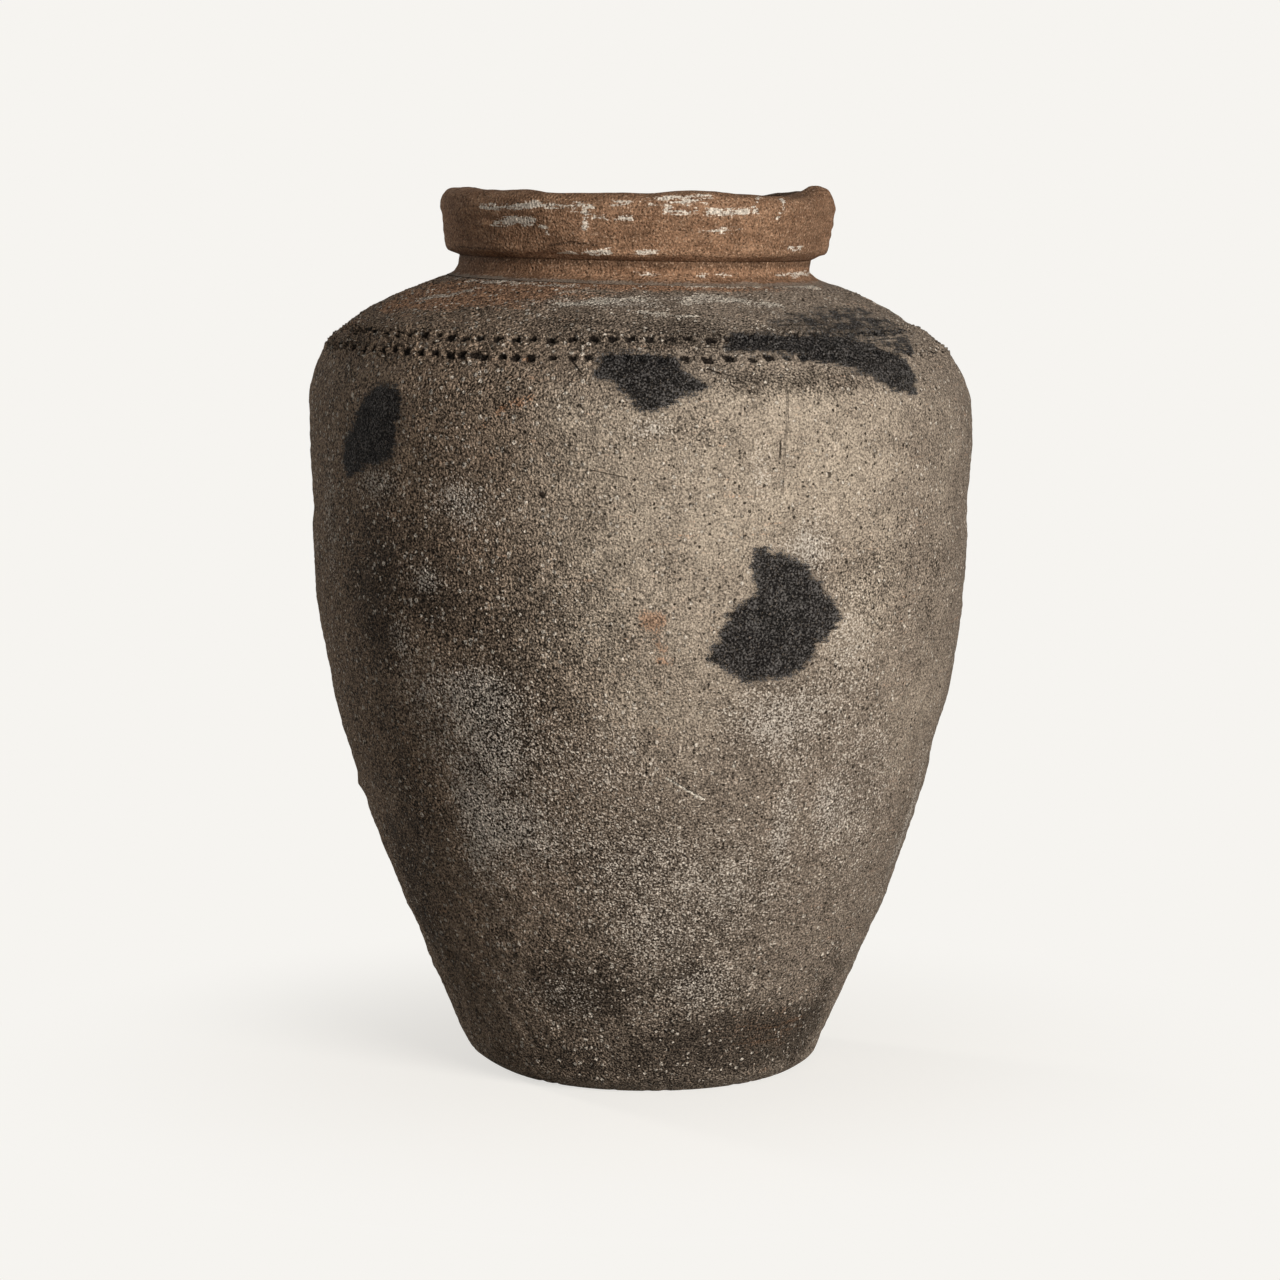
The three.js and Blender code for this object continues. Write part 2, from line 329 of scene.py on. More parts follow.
def find_in_photo(skin, pixels):
    """Angle and run of the front points of a skin that fall nearest to pixels of the photograph."""
    angle = np.radians(np.arange(-FRONT_DEGREES, FRONT_DEGREES, FRONT_STEP))
    seen = photo_pixels(skin.surface(angle, skin.runs))
    pixels = np.asarray(pixels, dtype=float)
    across = seen[None, :, :, 0] - pixels[:, 0, None, None]
    down = seen[None, :, :, 1] - pixels[:, 1, None, None]
    gap = across**2 + down**2
    row, column = np.unravel_index(gap.reshape(len(pixels), -1).argmin(axis=1), seen.shape[:2])
    return angle[column], skin.runs[row]


body_skin = Skin(wall_surface, body_radius, np.arange(0.0, run_at_height(SHOULDER_HEIGHT), BODY_SKIN_STEP))


def in_photo(spots):
    """Places for humps from spots whose middles are pixels of the photograph."""
    centres, runs = find_in_photo(body_skin, [spot[:2] for spot in spots])
    return [(centre, run, *spot[2:]) for centre, run, spot in zip(centres, runs, spots)]


# The clouds of colour on the body. Those in front have their middle in photo pixels, those behind in
# degrees and height. Then come the spread round the jar and up it in millimetres, and the strength.
SOOT = in_photo((
    (370, 600, 20, 30, 0.5), (400, 560, 18, 20, 0.3), (430, 600, 22, 16, 0.5), (470, 620, 26, 20, 0.4),
    (428, 800, 14, 30, 0.4), (420, 450, 16, 16, 0.3), (500, 932, 10, 9, 0.6), (500, 700, 26, 60, 0.3),
    (480, 800, 30, 40, 0.2), (520, 395, 36, 14, 0.35), (545, 690, 46, 50, 0.45),
    (560, 610, 40, 34, 0.35), (690, 432, 26, 8, 0.45), (850, 378, 34, 10, 0.6), (955, 540, 12, 50, 0.2),
    (690, 372, 40, 7, 0.2), (680, 1060, 85, 16, 0.7), (765, 1035, 36, 16, 0.95),
    (700, 1030, 36, 14, 0.7), (600, 985, 50, 16, 0.45), (690, 972, 12, 8, 0.5), (670, 1082, 26, 5, 0.7),
    (470, 330, 60, 9, 0.15), (620, 322, 80, 8, 0.5), (360, 330, 20, 14, 0.5), (838, 327, 38, 10, 0.75),
    (700, 1000, 90, 50, 0.3), (600, 880, 60, 60, 0.25), (800, 1020, 40, 30, 0.4),
    (545, 338, 26, 9, 0.2), (600, 342, 30, 9, 0.3), (660, 343, 34, 9, 0.3), (715, 345, 24, 8, 0.4),
    (375, 570, 26, 34, 0.6), (380, 640, 26, 40, 0.5), (392, 680, 14, 30, 0.3), (410, 800, 14, 40, 0.7),
    (415, 890, 22, 56, 1.3), (575, 985, 26, 24, 0.7), (800, 382, 26, 8, 1.0), (350, 365, 14, 14, 0.7),
    (370, 430, 12, 20, 0.4), (780, 1045, 30, 14, 0.9), (820, 1000, 14, 40, 0.6),
    (640, 1072, 100, 10, 0.6), (935, 585, 14, 30, 0.5), (880, 580, 30, 24, 0.4),
    (420, 520, 20, 16, 0.4), (440, 560, 24, 20, 0.3), (500, 700, 20, 20, 0.4), (580, 1000, 20, 14, 0.6),
    (620, 850, 40, 24, 0.3), (740, 385, 16, 8, 0.8), (490, 390, 20, 12, 0.3), (870, 580, 30, 30, 0.2),
    (372, 545, 24, 30, 0.4), (415, 560, 26, 34, 0.2), (445, 605, 24, 18, 0.3), (372, 422, 10, 24, 0.5),
    (580, 1000, 26, 22, 0.5), (640, 336, 90, 12, 0.3), (700, 330, 40, 10, 0.35),
    (700, 1045, 110, 14, 0.5), (480, 770, 34, 70, 0.2), (680, 930, 120, 60, 0.15),
    (355, 660, 14, 40, 0.3),
)) + on_clay((
    (140, 240, 80, 90, 0.6), (-150, 330, 90, 70, 0.5), (175, 90, 120, 60, 0.6), (120, 60, 60, 40, 0.6),
    (-120, 60, 60, 40, 0.6), (160, 430, 110, 25, 0.4), (-120, 200, 60, 90, 0.6), (180, 10, 140, 16, 0.8),
))
BLOOM = in_photo((
    (378, 482, 18, 10, 0.8), (462, 503, 20, 14, 0.85), (428, 582, 12, 10, 0.8), (470, 690, 32, 18, 0.8),
    (490, 750, 30, 26, 0.8), (512, 830, 30, 22, 0.8), (470, 800, 12, 24, 0.6), (400, 640, 10, 14, 0.55),
    (808, 552, 16, 18, 0.85), (780, 720, 38, 26, 0.7), (850, 640, 26, 30, 0.4), (783, 825, 7, 28, 0.7),
    (830, 810, 12, 20, 0.55), (905, 830, 9, 40, 0.8), (860, 800, 30, 60, 0.4), (650, 940, 30, 20, 0.4),
    (650, 428, 14, 6, 0.6), (705, 990, 26, 16, 0.6), (640, 870, 50, 40, 0.45), (740, 900, 30, 36, 0.45),
    (600, 760, 40, 26, 0.35), (330, 520, 10, 40, 0.5), (602, 303, 40, 5, 0.9), (710, 299, 28, 5, 0.95),
    (765, 305, 10, 3, 0.7), (560, 1000, 40, 20, 0.3), (760, 470, 10, 20, 0.35),
    (425, 720, 14, 26, 0.45), (484, 868, 14, 30, 0.45),
)) + on_clay((
    (100, 330, 70, 60, 0.5), (-110, 300, 50, 60, 0.5), (150, 150, 70, 60, 0.6), (-165, 220, 60, 60, 0.6),
    (180, 380, 90, 40, 0.5),
))
BUFF = in_photo((
    (835, 460, 42, 40, 1.0), (650, 515, 38, 36, 0.65), (590, 430, 26, 26, 0.6), (740, 540, 40, 40, 0.6),
    (880, 560, 26, 50, 0.5), (780, 400, 44, 16, 0.6), (850, 640, 34, 40, 0.45), (700, 640, 40, 40, 0.35),
    (690, 450, 60, 40, 0.5), (750, 520, 40, 30, 0.5), (620, 600, 24, 50, 0.45), (670, 720, 50, 30, 0.35),
    (945, 470, 24, 70, 0.5), (920, 700, 40, 60, 0.4), (905, 400, 24, 40, 0.5), (560, 560, 40, 80, 0.3),
)) + on_clay(((130, 370, 90, 50, 0.8), (-140, 390, 70, 40, 0.6)))
RUBBED = in_photo((
    (505, 292, 50, 16, 1.4), (440, 296, 42, 16, 1.3), (580, 282, 44, 9, 1.2), (395, 305, 24, 10, 0.9),
    (640, 280, 60, 6, 0.8), (740, 280, 60, 6, 0.8), (350, 326, 14, 10, 0.5), (770, 1030, 26, 14, 0.5),
)) + on_clay(((-120, 468, 80, 14, 0.7), (180, 470, 110, 12, 0.6), (115, 470, 60, 12, 0.5)))
CLOUDS = {"soot_and_shade": SOOT, "bloom": BLOOM, "buff": BUFF, "rubbed": RUBBED}
# A depth far outside the edge of a stain, and the stain numbers of clean clay.
FAR = -30.0
CLEAN = {"soot_and_shade": 0.0, "bloom": 0.0, "buff": 0.0, "rubbed": 0.0, "shade_and_chips": 0.0,
         "pitch": FAR, "rust": FAR, "lime": FAR, "score": FAR, "scored": 0.0}
CLAY_ROUGHNESS = 0.92
CLAY_GLOSS = 0.08


def body_stains(angle, run, extra=None, clean_rows=0):
    """All the body's stain numbers on a grid of runs by angles, then rows of clean clay for hidden faces.

    Clouds are held under one by 1 - exp(-sum). Pitch, rust and lime are millimetres inside their edge.
    """
    stains = {name: np.full((len(run), len(angle)), level) for name, level in CLEAN.items()}
    for name, places in CLOUDS.items():
        stains[name] = 1.0 - np.exp(-humps(angle, run, places))
    stains.update(extra or {})
    return {name: np.concatenate([grid, np.full((clean_rows, len(angle)), CLEAN[name])])
            for name, grid in stains.items()}


def linear(code):
    """A colour written in sRGB hex as linear red, green, blue and alpha: the standard sRGB curve undone."""
    share = np.array([int(code[i:i + 2], 16) for i in (1, 3, 5)]) / 255.0
    curve = np.where(share <= 0.04045, share / 12.92, ((share + 0.055) / 1.055)**2.4)
    return (*curve.tolist(), 1.0)


def node(tree, kind, inputs=(), out=0, **settings):
    """Add a node with its settings, fill its inputs with sockets or plain values, and give one output."""
    made = tree.nodes.new(kind)
    for setting, value in settings.items():
        setattr(made, setting, value)
    for socket, value in dict(inputs).items():
        if isinstance(value, bpy.types.NodeSocket):
            tree.links.new(value, made.inputs[socket])
        else:
            made.inputs[socket].default_value = value
    return made.outputs[out]


def per_metre(size):
    """Pattern scale on Object coordinates for features of a size in millimetres."""
    return 1000.0 / size


def weighed(tree, parts, total=0.0):
    """The sum of a total and of several parts, each times its weight. Any of them may be a socket."""
    for part, weight in parts:
        total = node(tree, "ShaderNodeMath", {0: part, 1: weight, 2: total}, operation="MULTIPLY_ADD")
    return total


def cover(tree, parts, low, high, most=1.0):
    """How much a layer covers: the weighed sum of its parts, eased from 0 at low to most at high."""
    return node(tree, "ShaderNodeMapRange", {0: weighed(tree, parts), 1: low, 2: high, 3: 0.0, 4: most},
                interpolation_type="SMOOTHSTEP")


def layered(tree, base, layers):
    """A base colour under layers of tint, each mixed over those before it by its share."""
    colour = linear(base)
    for share, tint in layers:
        colour = node(tree, "ShaderNodeMix", {0: share, 6: colour, 7: linear(tint)}, 2, data_type="RGBA")
    return colour


def clay_finish(name, attributes=()):
    """A new clay material: itself, its node tree, its Object coordinates, and its stain numbers by name."""
    material = bpy.data.materials.new(name)
    material.use_nodes = True
    tree = material.node_tree
    stain = {stained: node(tree, "ShaderNodeAttribute", out="Fac", attribute_name=stained)
             for stained in attributes}
    return material, tree, node(tree, "ShaderNodeTexCoord", out="Object"), stain


def clay_skin(tree, colour, heights, rise):
    """Finish a clay material: its colour, its sandy skin as bump in parts of a rise, and little gloss."""
    shader = tree.nodes["Principled BSDF"]
    height = weighed(tree, heights)
    bump = node(tree, "ShaderNodeBump",
                {"Strength": 1.0, "Distance": rise * MM, "Height": height}, "Normal")
    tree.links.new(colour, shader.inputs["Base Color"])
    tree.links.new(bump, shader.inputs["Normal"])
    shader.inputs["Roughness"].default_value = CLAY_ROUGHNESS
    shader.inputs["Specular IOR Level"].default_value = CLAY_GLOSS


def weathered_terracotta():
    """Unglazed low-fired earthenware, once slipped with buff clay and left out of doors for years.

    The eye sees a sandy, matt skin: buff slip worn to grey-brown clay, pale grains and dark pits of one
    to two millimetres all over, whitish dust and brown soot in clouds, and black pitch with a ragged edge.
    The notches are darkened with painted shade, and from grain to grain the skin is lighter or darker,
    partly by painted shade and highlight of the sandy relief.
    """
    material, tree, place, stain = clay_finish("weathered_terracotta", CLEAN)
    level = node(tree, "ShaderNodeMapping", {"Vector": place, "Scale": (1.0, 1.0, 16.0)})
    cloud, patch, mottle, wipe, hair, crust = (
        node(tree, "ShaderNodeTexNoise", {"Vector": source, "Scale": per_metre(size), "Detail": detail,
                                          "Roughness": rough})
        for source, size, detail, rough in (
            (place, 70.0, 6.0, 0.62), (place, 26.0, 8.0, 0.72), (place, 8.0, 5.0, 0.7),
            (level, 34.0, 6.0, 0.7), (place, 3.6, 1.0, 0.5), (place, 2.1, 1.0, 0.5)))
    grit = node(tree, "ShaderNodeTexNoise", {"Vector": place, "Scale": per_metre(1.2), "Detail": 1.0,
                                             "Roughness": 0.5}, "Color")
    sand, pore, dust = node(tree, "ShaderNodeSeparateColor", {"Color": grit}).node.outputs
    right = node(tree, "ShaderNodeSeparateXYZ", {"Vector": place}, "X")
    grain_cell, pit_cell = (
        node(tree, "ShaderNodeTexVoronoi", {"Vector": place, "Scale": per_metre(size)}).node.outputs
        for size in (3.2, 2.8))
    grain_size, pit_size = (node(tree, "ShaderNodeSeparateColor", {"Color": cell["Color"]})
                            for cell in (grain_cell, pit_cell))
    coarse = cover(tree, ((right, -1.0),), -0.05, 0.16)

    # Grey-brown clay under worn buff slip, dull where it is worn most.
    slip = cover(tree, ((stain["buff"], 1.0), (cloud, 0.8), (patch, 0.6)), 0.68, 1.55)
    dull = cover(tree, ((mottle, -1.0), (patch, -1.0)), -1.05, -0.85, 0.25)
    brown = weighed(tree, ((coarse, 0.6),))

    # Red clay where hands rubbed, soot and earth, and dust that lies in fine grains.
    rubbed = cover(tree, ((stain["rubbed"], 0.9), (wipe, 1.6), (mottle, 0.8), (dust, 0.8)), 1.8, 2.2, 0.9)
    soot_and_shade_cover = cover(tree, ((stain["soot_and_shade"], 1.0), (patch, -0.7), (mottle, -0.4), (dust, -0.8)),
                  -0.78, -0.12, 0.7)
    dusty = cover(tree, ((stain["bloom"], 0.8), (patch, 0.6), (mottle, 0.5), (dust, 1.6)), 1.65, 1.87, 0.72)

    # Sand that keeps the pitch off, pale grains, pits with soil in them, and short hairline cracks.
    fleck = cover(tree, ((sand, 1.0),), 0.62, 0.74, 0.4)
    grain = cover(tree, ((grain_cell["Distance"], -1.0), (grain_size, 0.9), (dust, 0.3),
                         (stain["buff"], -0.08), (coarse, 0.06)), 0.6, 0.66, 0.75)
    pit = cover(tree, ((pit_cell["Distance"], -1.0), (pit_size, 0.8), (pore, 0.4)), 0.62, 0.68, 0.85)
    crack = node(tree, "ShaderNodeMath", {0: hair, 1: 0.5, 2: 0.018}, operation="COMPARE")
    broken = cover(tree, ((pore, 1.0), (stain["buff"], 0.06)), 0.57, 0.63, 0.75)
    dash = weighed(tree, ((crack, broken),))

    # Stains with an edge: each frays at its edge as the sand and the patches let it.
    fray = ((patch, 14.0), (mottle, 14.0), (dust, 11.0))
    middle = 0.5 * sum(weight for _, weight in fray)
    scuff = cover(tree, ((stain["rust"], 1.0), *fray), middle, middle + 3.0, 0.45)
    limed = cover(tree, ((stain["lime"], 1.0), (wipe, 24.0), *fray), middle + 10.5, middle + 13.0, 0.85)
    tar = cover(tree, ((stain["pitch"], 1.0), (wipe, 14.0), *fray), middle + 6.3, middle + 7.5, 0.97)
    tar = weighed(tree, ((tar, weighed(tree, ((fleck, -1.0),), 1.0)),))
    thin_tar = weighed(tree, ((tar, cover(tree, ((mottle, 0.5), (dust, 0.8)), 0.57, 0.87)),))
    # Painted shade in the notches, darkest where they are deepest.
    notch_shade = cover(tree, ((stain["shade_and_chips"], 1.0), (dust, 0.8), (pore, 0.8)), 1.1, 1.4, 0.95)
    aside = node(tree, "ShaderNodeMath", {0: stain["score"]}, operation="ABSOLUTE")
    line = cover(tree, ((aside, 1.0),), 1.0, 0.5)
    cut = weighed(tree, ((line, stain["scored"]),))
    scratch = weighed(tree, ((cut, -1.0),))
    colour = layered(tree, "#8B7E71", (
        (brown, "#8E7660"), (slip, "#B3A594"), (dull, "#6C6156"), (rubbed, "#A17D63"), (soot_and_shade_cover, "#332B24"),
        (dusty, "#B5ADA3"), (dash, "#3F352C"), (grain, "#CFC5B8"), (pit, "#28211B"), (notch_shade, "#1A1512"),
        (scuff, "#A06E4A"), (limed, "#C9C0B3"), (tar, "#151516"), (thin_tar, "#565351"), (cut, "#2B241E"),
        (scratch, "#CFC6B8")))

    # Every layer is lighter or darker from grain to grain, less so on the smooth slip: partly the grains'
    # own tone, and partly painted shade and highlight of the sandy relief. The left side stood to the
    # weather, and its skin is coarse, with the strongest painted shade and highlight from grain to grain.
    sandiness = weighed(tree, ((slip, -0.35), (stain["soot_and_shade"], 0.6), (coarse, 0.5)), 1.0)
    crusted = weighed(tree, ((weighed(tree, ((crust, 1.0),), -0.5), coarse),))
    grain_shade_swing = weighed(tree, ((dust, 4.0), (mottle, 0.4), (patch, 0.4)), -2.4)
    grain_shade_swing = weighed(tree, ((crusted, 3.0),), weighed(tree, ((grain_shade_swing, sandiness),)))
    tone = weighed(tree, ((node(tree, "ShaderNodeMath", {0: grain_shade_swing}, operation="TANH"), 1.0),), 1.0)
    colour = node(tree, "ShaderNodeVectorMath", {0: colour, "Scale": tone}, operation="SCALE")
    sandy = weighed(tree, ((sand, sandiness),))
    clay_skin(tree, colour, ((sandy, 1.8), (crusted, 2.0), (grain, 0.8), (pit, -0.5), (dash, -0.4),
                             (line, -0.6)), 1.1)
    return material


def raw_terracotta():
    """The same clay bare, as the potter's wet hand left it inside: dark brown, smeared and gritty."""
    material, tree, place, _ = clay_finish("raw_terracotta_inside")
    smear = node(tree, "ShaderNodeMapping", {"Vector": place, "Scale": (1.0, 1.0, 6.0)})
    streak = node(tree, "ShaderNodeTexNoise", {"Vector": smear, "Scale": per_metre(60.0), "Detail": 6.0,
                                               "Roughness": 0.65})
    grit = node(tree, "ShaderNodeTexNoise", {"Vector": place, "Scale": per_metre(2.3), "Detail": 3.0,
                                             "Roughness": 0.6})
    wiped = cover(tree, ((streak, 1.0),), 0.35, 0.68)
    pit = cover(tree, ((grit, -1.0),), -0.42, -0.3, 0.7)
    colour = layered(tree, "#44352B", ((wiped, "#655041"), (pit, "#2B211A")))
    clay_skin(tree, colour, ((grit, 1.0),), 0.6)
    return material


body_clay = weathered_terracotta()
inside_clay = raw_terracotta()

HEEL_IN = 9.8
HEEL_IN_LEFT = 1.8
HEEL_TALL = 9.0
HEEL_TALL_LEFT = 1.5
HEEL_POWER = 1.25
CHIP_MM = 1.2
CHIP_START = 0.4
SLAB_EDGE_ROWS = 22
SLAB_ROW_CROWDING = 1.3


def slab_surface(angle, run):
    """The slab's edge: the line of the wall, drawn in towards the floor by the worn heel.

    The heel is a quarter of a superellipse, larger to the left, and ragged where chips are gone.
    """
    radius, height, out, up = body_line(run)
    height = height[:, None]
    proud = wall_relief(angle, run)
    chips = CHIP_MM * np.clip(ripples(angle, np.zeros(1), 21, (3, 60), (50.0, 60.0)) - CHIP_START, 0.0, 2.0)
    tall = HEEL_TALL - HEEL_TALL_LEFT * np.sin(angle)[None, :] + chips
    drawn = HEEL_IN - HEEL_IN_LEFT * np.sin(angle)[None, :] + chips
    below = np.clip((tall - height) / tall, 0.0, 1.0)
    inset = drawn * (1.0 - (1.0 - below**HEEL_POWER)**(1.0 / HEEL_POWER))
    return handmade(angle[None, :], radius[:, None] - inset + out[:, None] * proud,
                    height + up[:, None] * proud)


foot_low = run_at_height(BASE_THICKNESS)
slab_runs = foot_low * np.linspace(0.0, 1.0, SLAB_EDGE_ROWS)**SLAB_ROW_CROWDING
slab_edge = slab_surface(angles, slab_runs)
slab_axis = handmade(np.zeros(2), np.zeros(2), np.array([0.0, BASE_THICKNESS]))
floor_share = np.array([0.1, 0.35, 0.6, 0.8, 0.95])[:, None, None]
top_share = np.array([0.93, 0.8, 0.5, 0.2])[:, None, None]
slab_points = np.concatenate([slab_axis[0] + floor_share * (slab_edge[:1] - slab_axis[0]), slab_edge,
                              slab_axis[1] + top_share * (slab_edge[-1:] - slab_axis[1])])
slab_normals = grid_normals(slab_points)
slab_first = len(floor_share)
slab_last = slab_first + SLAB_EDGE_ROWS
slab_normals[slab_first + 1:slab_last] = surface_normals(slab_surface, angles, slab_runs[1:])
slab_stains = body_stains(angles, np.concatenate([np.zeros(slab_first), slab_runs]), None, len(top_share))
base_slab = clay_piece("base_slab_clay", slab_points, slab_normals, slab_stains, (body_clay, inside_clay),
                       slab_last - 1, slab_axis)
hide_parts("base_slab")

# The corner coil
# A thin coil of the same clay, pressed with a finger into the inside corner of the base.
# It seals the slab to the wall, and its face is a little hollow and wavy from the fingertip.
CORNER_COIL_WIDTH = 20.0
CORNER_COIL_HEIGHT = 22.0
COIL_ROWS = 14
COIL_WALL_ROWS = 5
COIL_FLOOR_ROWS = 4
COIL_HOLLOW = 0.35
FINGER_MM = 0.8
LOWER_BODY = 300.0


def wall_inside(run):
    """Radius and height inside the wall, square in from the outline by its thickness."""
    radius, height, out, up = body_line(run)
    return radius - out * WALL, height - up * WALL


def run_inside_at(height):
    """Distance along the outline whose point inside the wall is at a height in the lower body."""
    runs = np.linspace(0.0, run_at_height(LOWER_BODY), 3000)
    return np.interp(height, wall_inside(runs)[1], runs)


def rounded(start, corner, stop, count=60):
    """A corner rounded off by a parabola: a cubic whose inner points lie two thirds of the way in."""
    start, corner, stop = (np.array(point, dtype=float) for point in (start, corner, stop))
    return bezier(start, start + (corner - start) * 2 / 3, stop + (corner - stop) * 2 / 3, stop, count)


def coil_rows():
    """The coil's section: up the wall from the corner, then down its hollow face to the slab."""
    low = run_inside_at(BASE_THICKNESS)
    high = run_inside_at(BASE_THICKNESS + CORNER_COIL_HEIGHT)
    wall = np.stack(wall_inside(np.linspace(low, high, COIL_WALL_ROWS)), axis=1)
    corner, top = wall[0], wall[-1]
    toe = corner - [CORNER_COIL_WIDTH, 0.0]
    middle = (toe + top) / 2
    face = rounded(top, middle + COIL_HOLLOW * (corner - middle), toe, COIL_ROWS)
    floor = np.linspace(toe, corner, COIL_FLOOR_ROWS)
    section = np.concatenate([wall[:-1], face[:-1], floor[:-1]])
    bell = np.concatenate([np.zeros(COIL_WALL_ROWS - 1), np.sin(np.linspace(0, np.pi, COIL_ROWS))[:-1],
                           np.zeros(COIL_FLOOR_ROWS - 1)])
    dabs = FINGER_MM * bell[:, None] * ripples(angles, np.zeros(1), 31, (20, 60), (40.0, 60.0))
    return section[:, :1] - dabs, section[:, 1:] + dabs


coil_points = handmade(angles[None, :], *coil_rows())
corner_coil = clay_piece("base_corner_coil_clay", coil_points, grid_normals(coil_points, True), {},
                         (inside_clay, inside_clay), 0)
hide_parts("base_corner_coil")

# The foot wall
# The lowest wall section, a thick slab of clay bent round and luted on the base slab, leaning outwards.
# Its sandy outside was beaten with a paddle and wiped level, and years of wet ground have soiled it.
FOOT_SEAM_HEIGHT = 118.0
ROW_STEP = 1.6
INNER_ROW_STEP = 12.0
TONGUE_WIDTH = 6.0
TONGUE_HEIGHT = 4.0
RIDGE_MM = 0.9
SCORE_REACH = 4.0
SCORE_END = 1.0
# Scored lines and cracks: start and end in photo pixels, how dark (pale if negative), and millimetres wide.
FOOT_SCORES = (((614, 911), (607, 927), 0.5, 2.0),)


def inside_surface(angle, run):
    """The body's inside: the outline square in by the wall, with the level ridges that fingers leave."""
    ridges = RIDGE_MM * ripples(angle, run, 41, (0, 3), (16.0, 34.0), 24)
    return pushed_out(angle, (*wall_inside(run), *body_line(run)[2:]), ridges)


def seam_rows(run):
    """Radius and height of the luting tongue across a seam, from outside to inside."""
    radius, height, out, up = body_line(run)
    depth = WALL / 2 + TONGUE_WIDTH / 2 * np.array([-1.0, 0.0, 1.0])
    rise = np.array([0.0, TONGUE_HEIGHT, 0.0])
    return radius - out * depth - up * rise, height - up * depth + out * rise


def even_runs(low, high, step):
    """Distances from low to high, evenly spaced by about a step."""
    return np.linspace(low, high, int(np.ceil((high - low) / step)) + 1)


def wall_section(name, outside_runs, inner_ends, low_joint, high_joint, surface=wall_surface, extra=None):
    """A ring of wall: outside rows going up, the upper joint, inside rows going down, the lower joint.

    The joints are radius and height rows from outside to inside.
    """
    inside_runs = even_runs(*inner_ends, INNER_ROW_STEP)[::-1]
    outside = surface(angles, outside_runs)
    inside = inside_surface(angles, inside_runs)
    low, high = (handmade(angles[None, :], radius[:, None], height[:, None])
                 for radius, height in (low_joint, high_joint))
    points = np.concatenate([outside, high, inside, low[::-1]])
    normals = grid_normals(points, True)
    first = len(outside) + len(high)
    normals[:len(outside)] = surface_normals(surface, angles, outside_runs)
    normals[first:first + len(inside)] = -surface_normals(inside_surface, angles, inside_runs)
    stains = body_stains(angles, outside_runs, extra, len(points) - len(outside))
    return clay_piece(name, points, normals, stains, (body_clay, inside_clay), len(outside) - 1)


def unrolled(skin, angle, run, centre):
    """Flat coordinates in millimetres about a centre: distance round the jar, and along the outline."""
    return turned_from(angle, centre[0]) * skin.radius(centre[1]), run - centre[1]


def beside_line(skin, angle, run, ends):
    """Millimetres past the ends of a line between photo pixels, and to its left, on unrolled clay."""
    end_angles, end_runs = find_in_photo(skin, ends)
    middle = (end_angles.mean(), end_runs.mean())
    across, along = unrolled(skin, angle, run, middle)
    end_x, end_y = unrolled(skin, end_angles, end_runs, middle)
    x, y = across[None, :] - end_x[0], along[:, None] - end_y[0]
    length = np.hypot(end_x[1] - end_x[0], end_y[1] - end_y[0])
    turn = np.arctan2(end_y[1] - end_y[0], end_x[1] - end_x[0])
    ahead = x * np.cos(turn) + y * np.sin(turn)
    past = np.maximum(np.maximum(-ahead, ahead - length), 0.0)
    return past, y * np.cos(turn) - x * np.sin(turn)


def scored_lines(skin, angle, run, lines):
    """Half widths to the left of the nearest scored line, and how dark it is, or pale if negative.

    A line that starts where it stops is a round hole, with its distance from the middle.
    """
    score = np.full((len(run), len(angle)), -FAR)
    scored = np.zeros_like(score)
    for start, stop, strength, width in lines:
        past, aside = beside_line(skin, angle, run, (start, stop))
        gap = np.hypot(past, aside)
        place = 2.0 / width * (gap if start == stop else aside)
        beside = (gap < width / 2 + SCORE_REACH) & ((past < SCORE_END) | (start == stop))
        nearest = beside & (np.abs(place) < np.abs(score))
        score = np.where(nearest, place, score)
        scored = np.where(nearest, strength, scored)
    return {"score": score, "scored": scored}


no_joint = (np.zeros(0), np.zeros(0))
foot_seam = run_at_height(FOOT_SEAM_HEIGHT)
foot_runs = even_runs(foot_low, foot_seam, ROW_STEP)
foot_stains = scored_lines(body_skin, angles, foot_runs, FOOT_SCORES)
foot_wall = wall_section("foot_wall_clay", foot_runs, (run_inside_at(BASE_THICKNESS), foot_seam), no_joint,
                         seam_rows(foot_seam), extra=foot_stains)
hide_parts("foot_wall")

# The lower wall
# The second wall section, luted over the foot wall's tongue, and smoothed so that only a faint level
# line shows outside. It carries the drying cracks of the left side, and a pale scratch.
LOWER_SEAM_HEIGHT = 228.0
LOWER_SCORES = (
    ((473, 764), (488, 776), 0.8, 1.0), ((488, 776), (501, 784), 0.8, 1.0),
    ((517, 783), (524, 776), 0.8, 1.2), ((437, 803), (455, 823), 0.7, 1.2),
    ((455, 823), (464, 838), 0.5, 1.0), ((474, 770), (478, 806), 0.4, 1.0),
    ((541, 708), (543, 724), 0.4, 1.0), ((543, 724), (556, 726), 0.5, 0.9),
    ((666, 779), (704, 800), -0.95, 1.8), ((735, 767), (735, 767), -0.9, 3.6),
    ((647, 773), (647, 773), 1.0, 3.2),
)

lower_seam = run_at_height(LOWER_SEAM_HEIGHT)
lower_runs = even_runs(foot_seam, lower_seam, ROW_STEP)
lower_stains = scored_lines(body_skin, angles, lower_runs, LOWER_SCORES)
lower_wall = wall_section("lower_wall_clay", lower_runs, (foot_seam, lower_seam), seam_rows(foot_seam),
                          seam_rows(lower_seam), extra=lower_stains)
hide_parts("lower_wall")

# The belly wall
# The third wall section, nearly upright, with the best of the buff slip still on its right side.
# A spill of pitch dried on it in a black patch, and a few scuffs show the red clay.
BELLY_SEAM_HEIGHT = 337.0
PATCH_REACH = 14.0
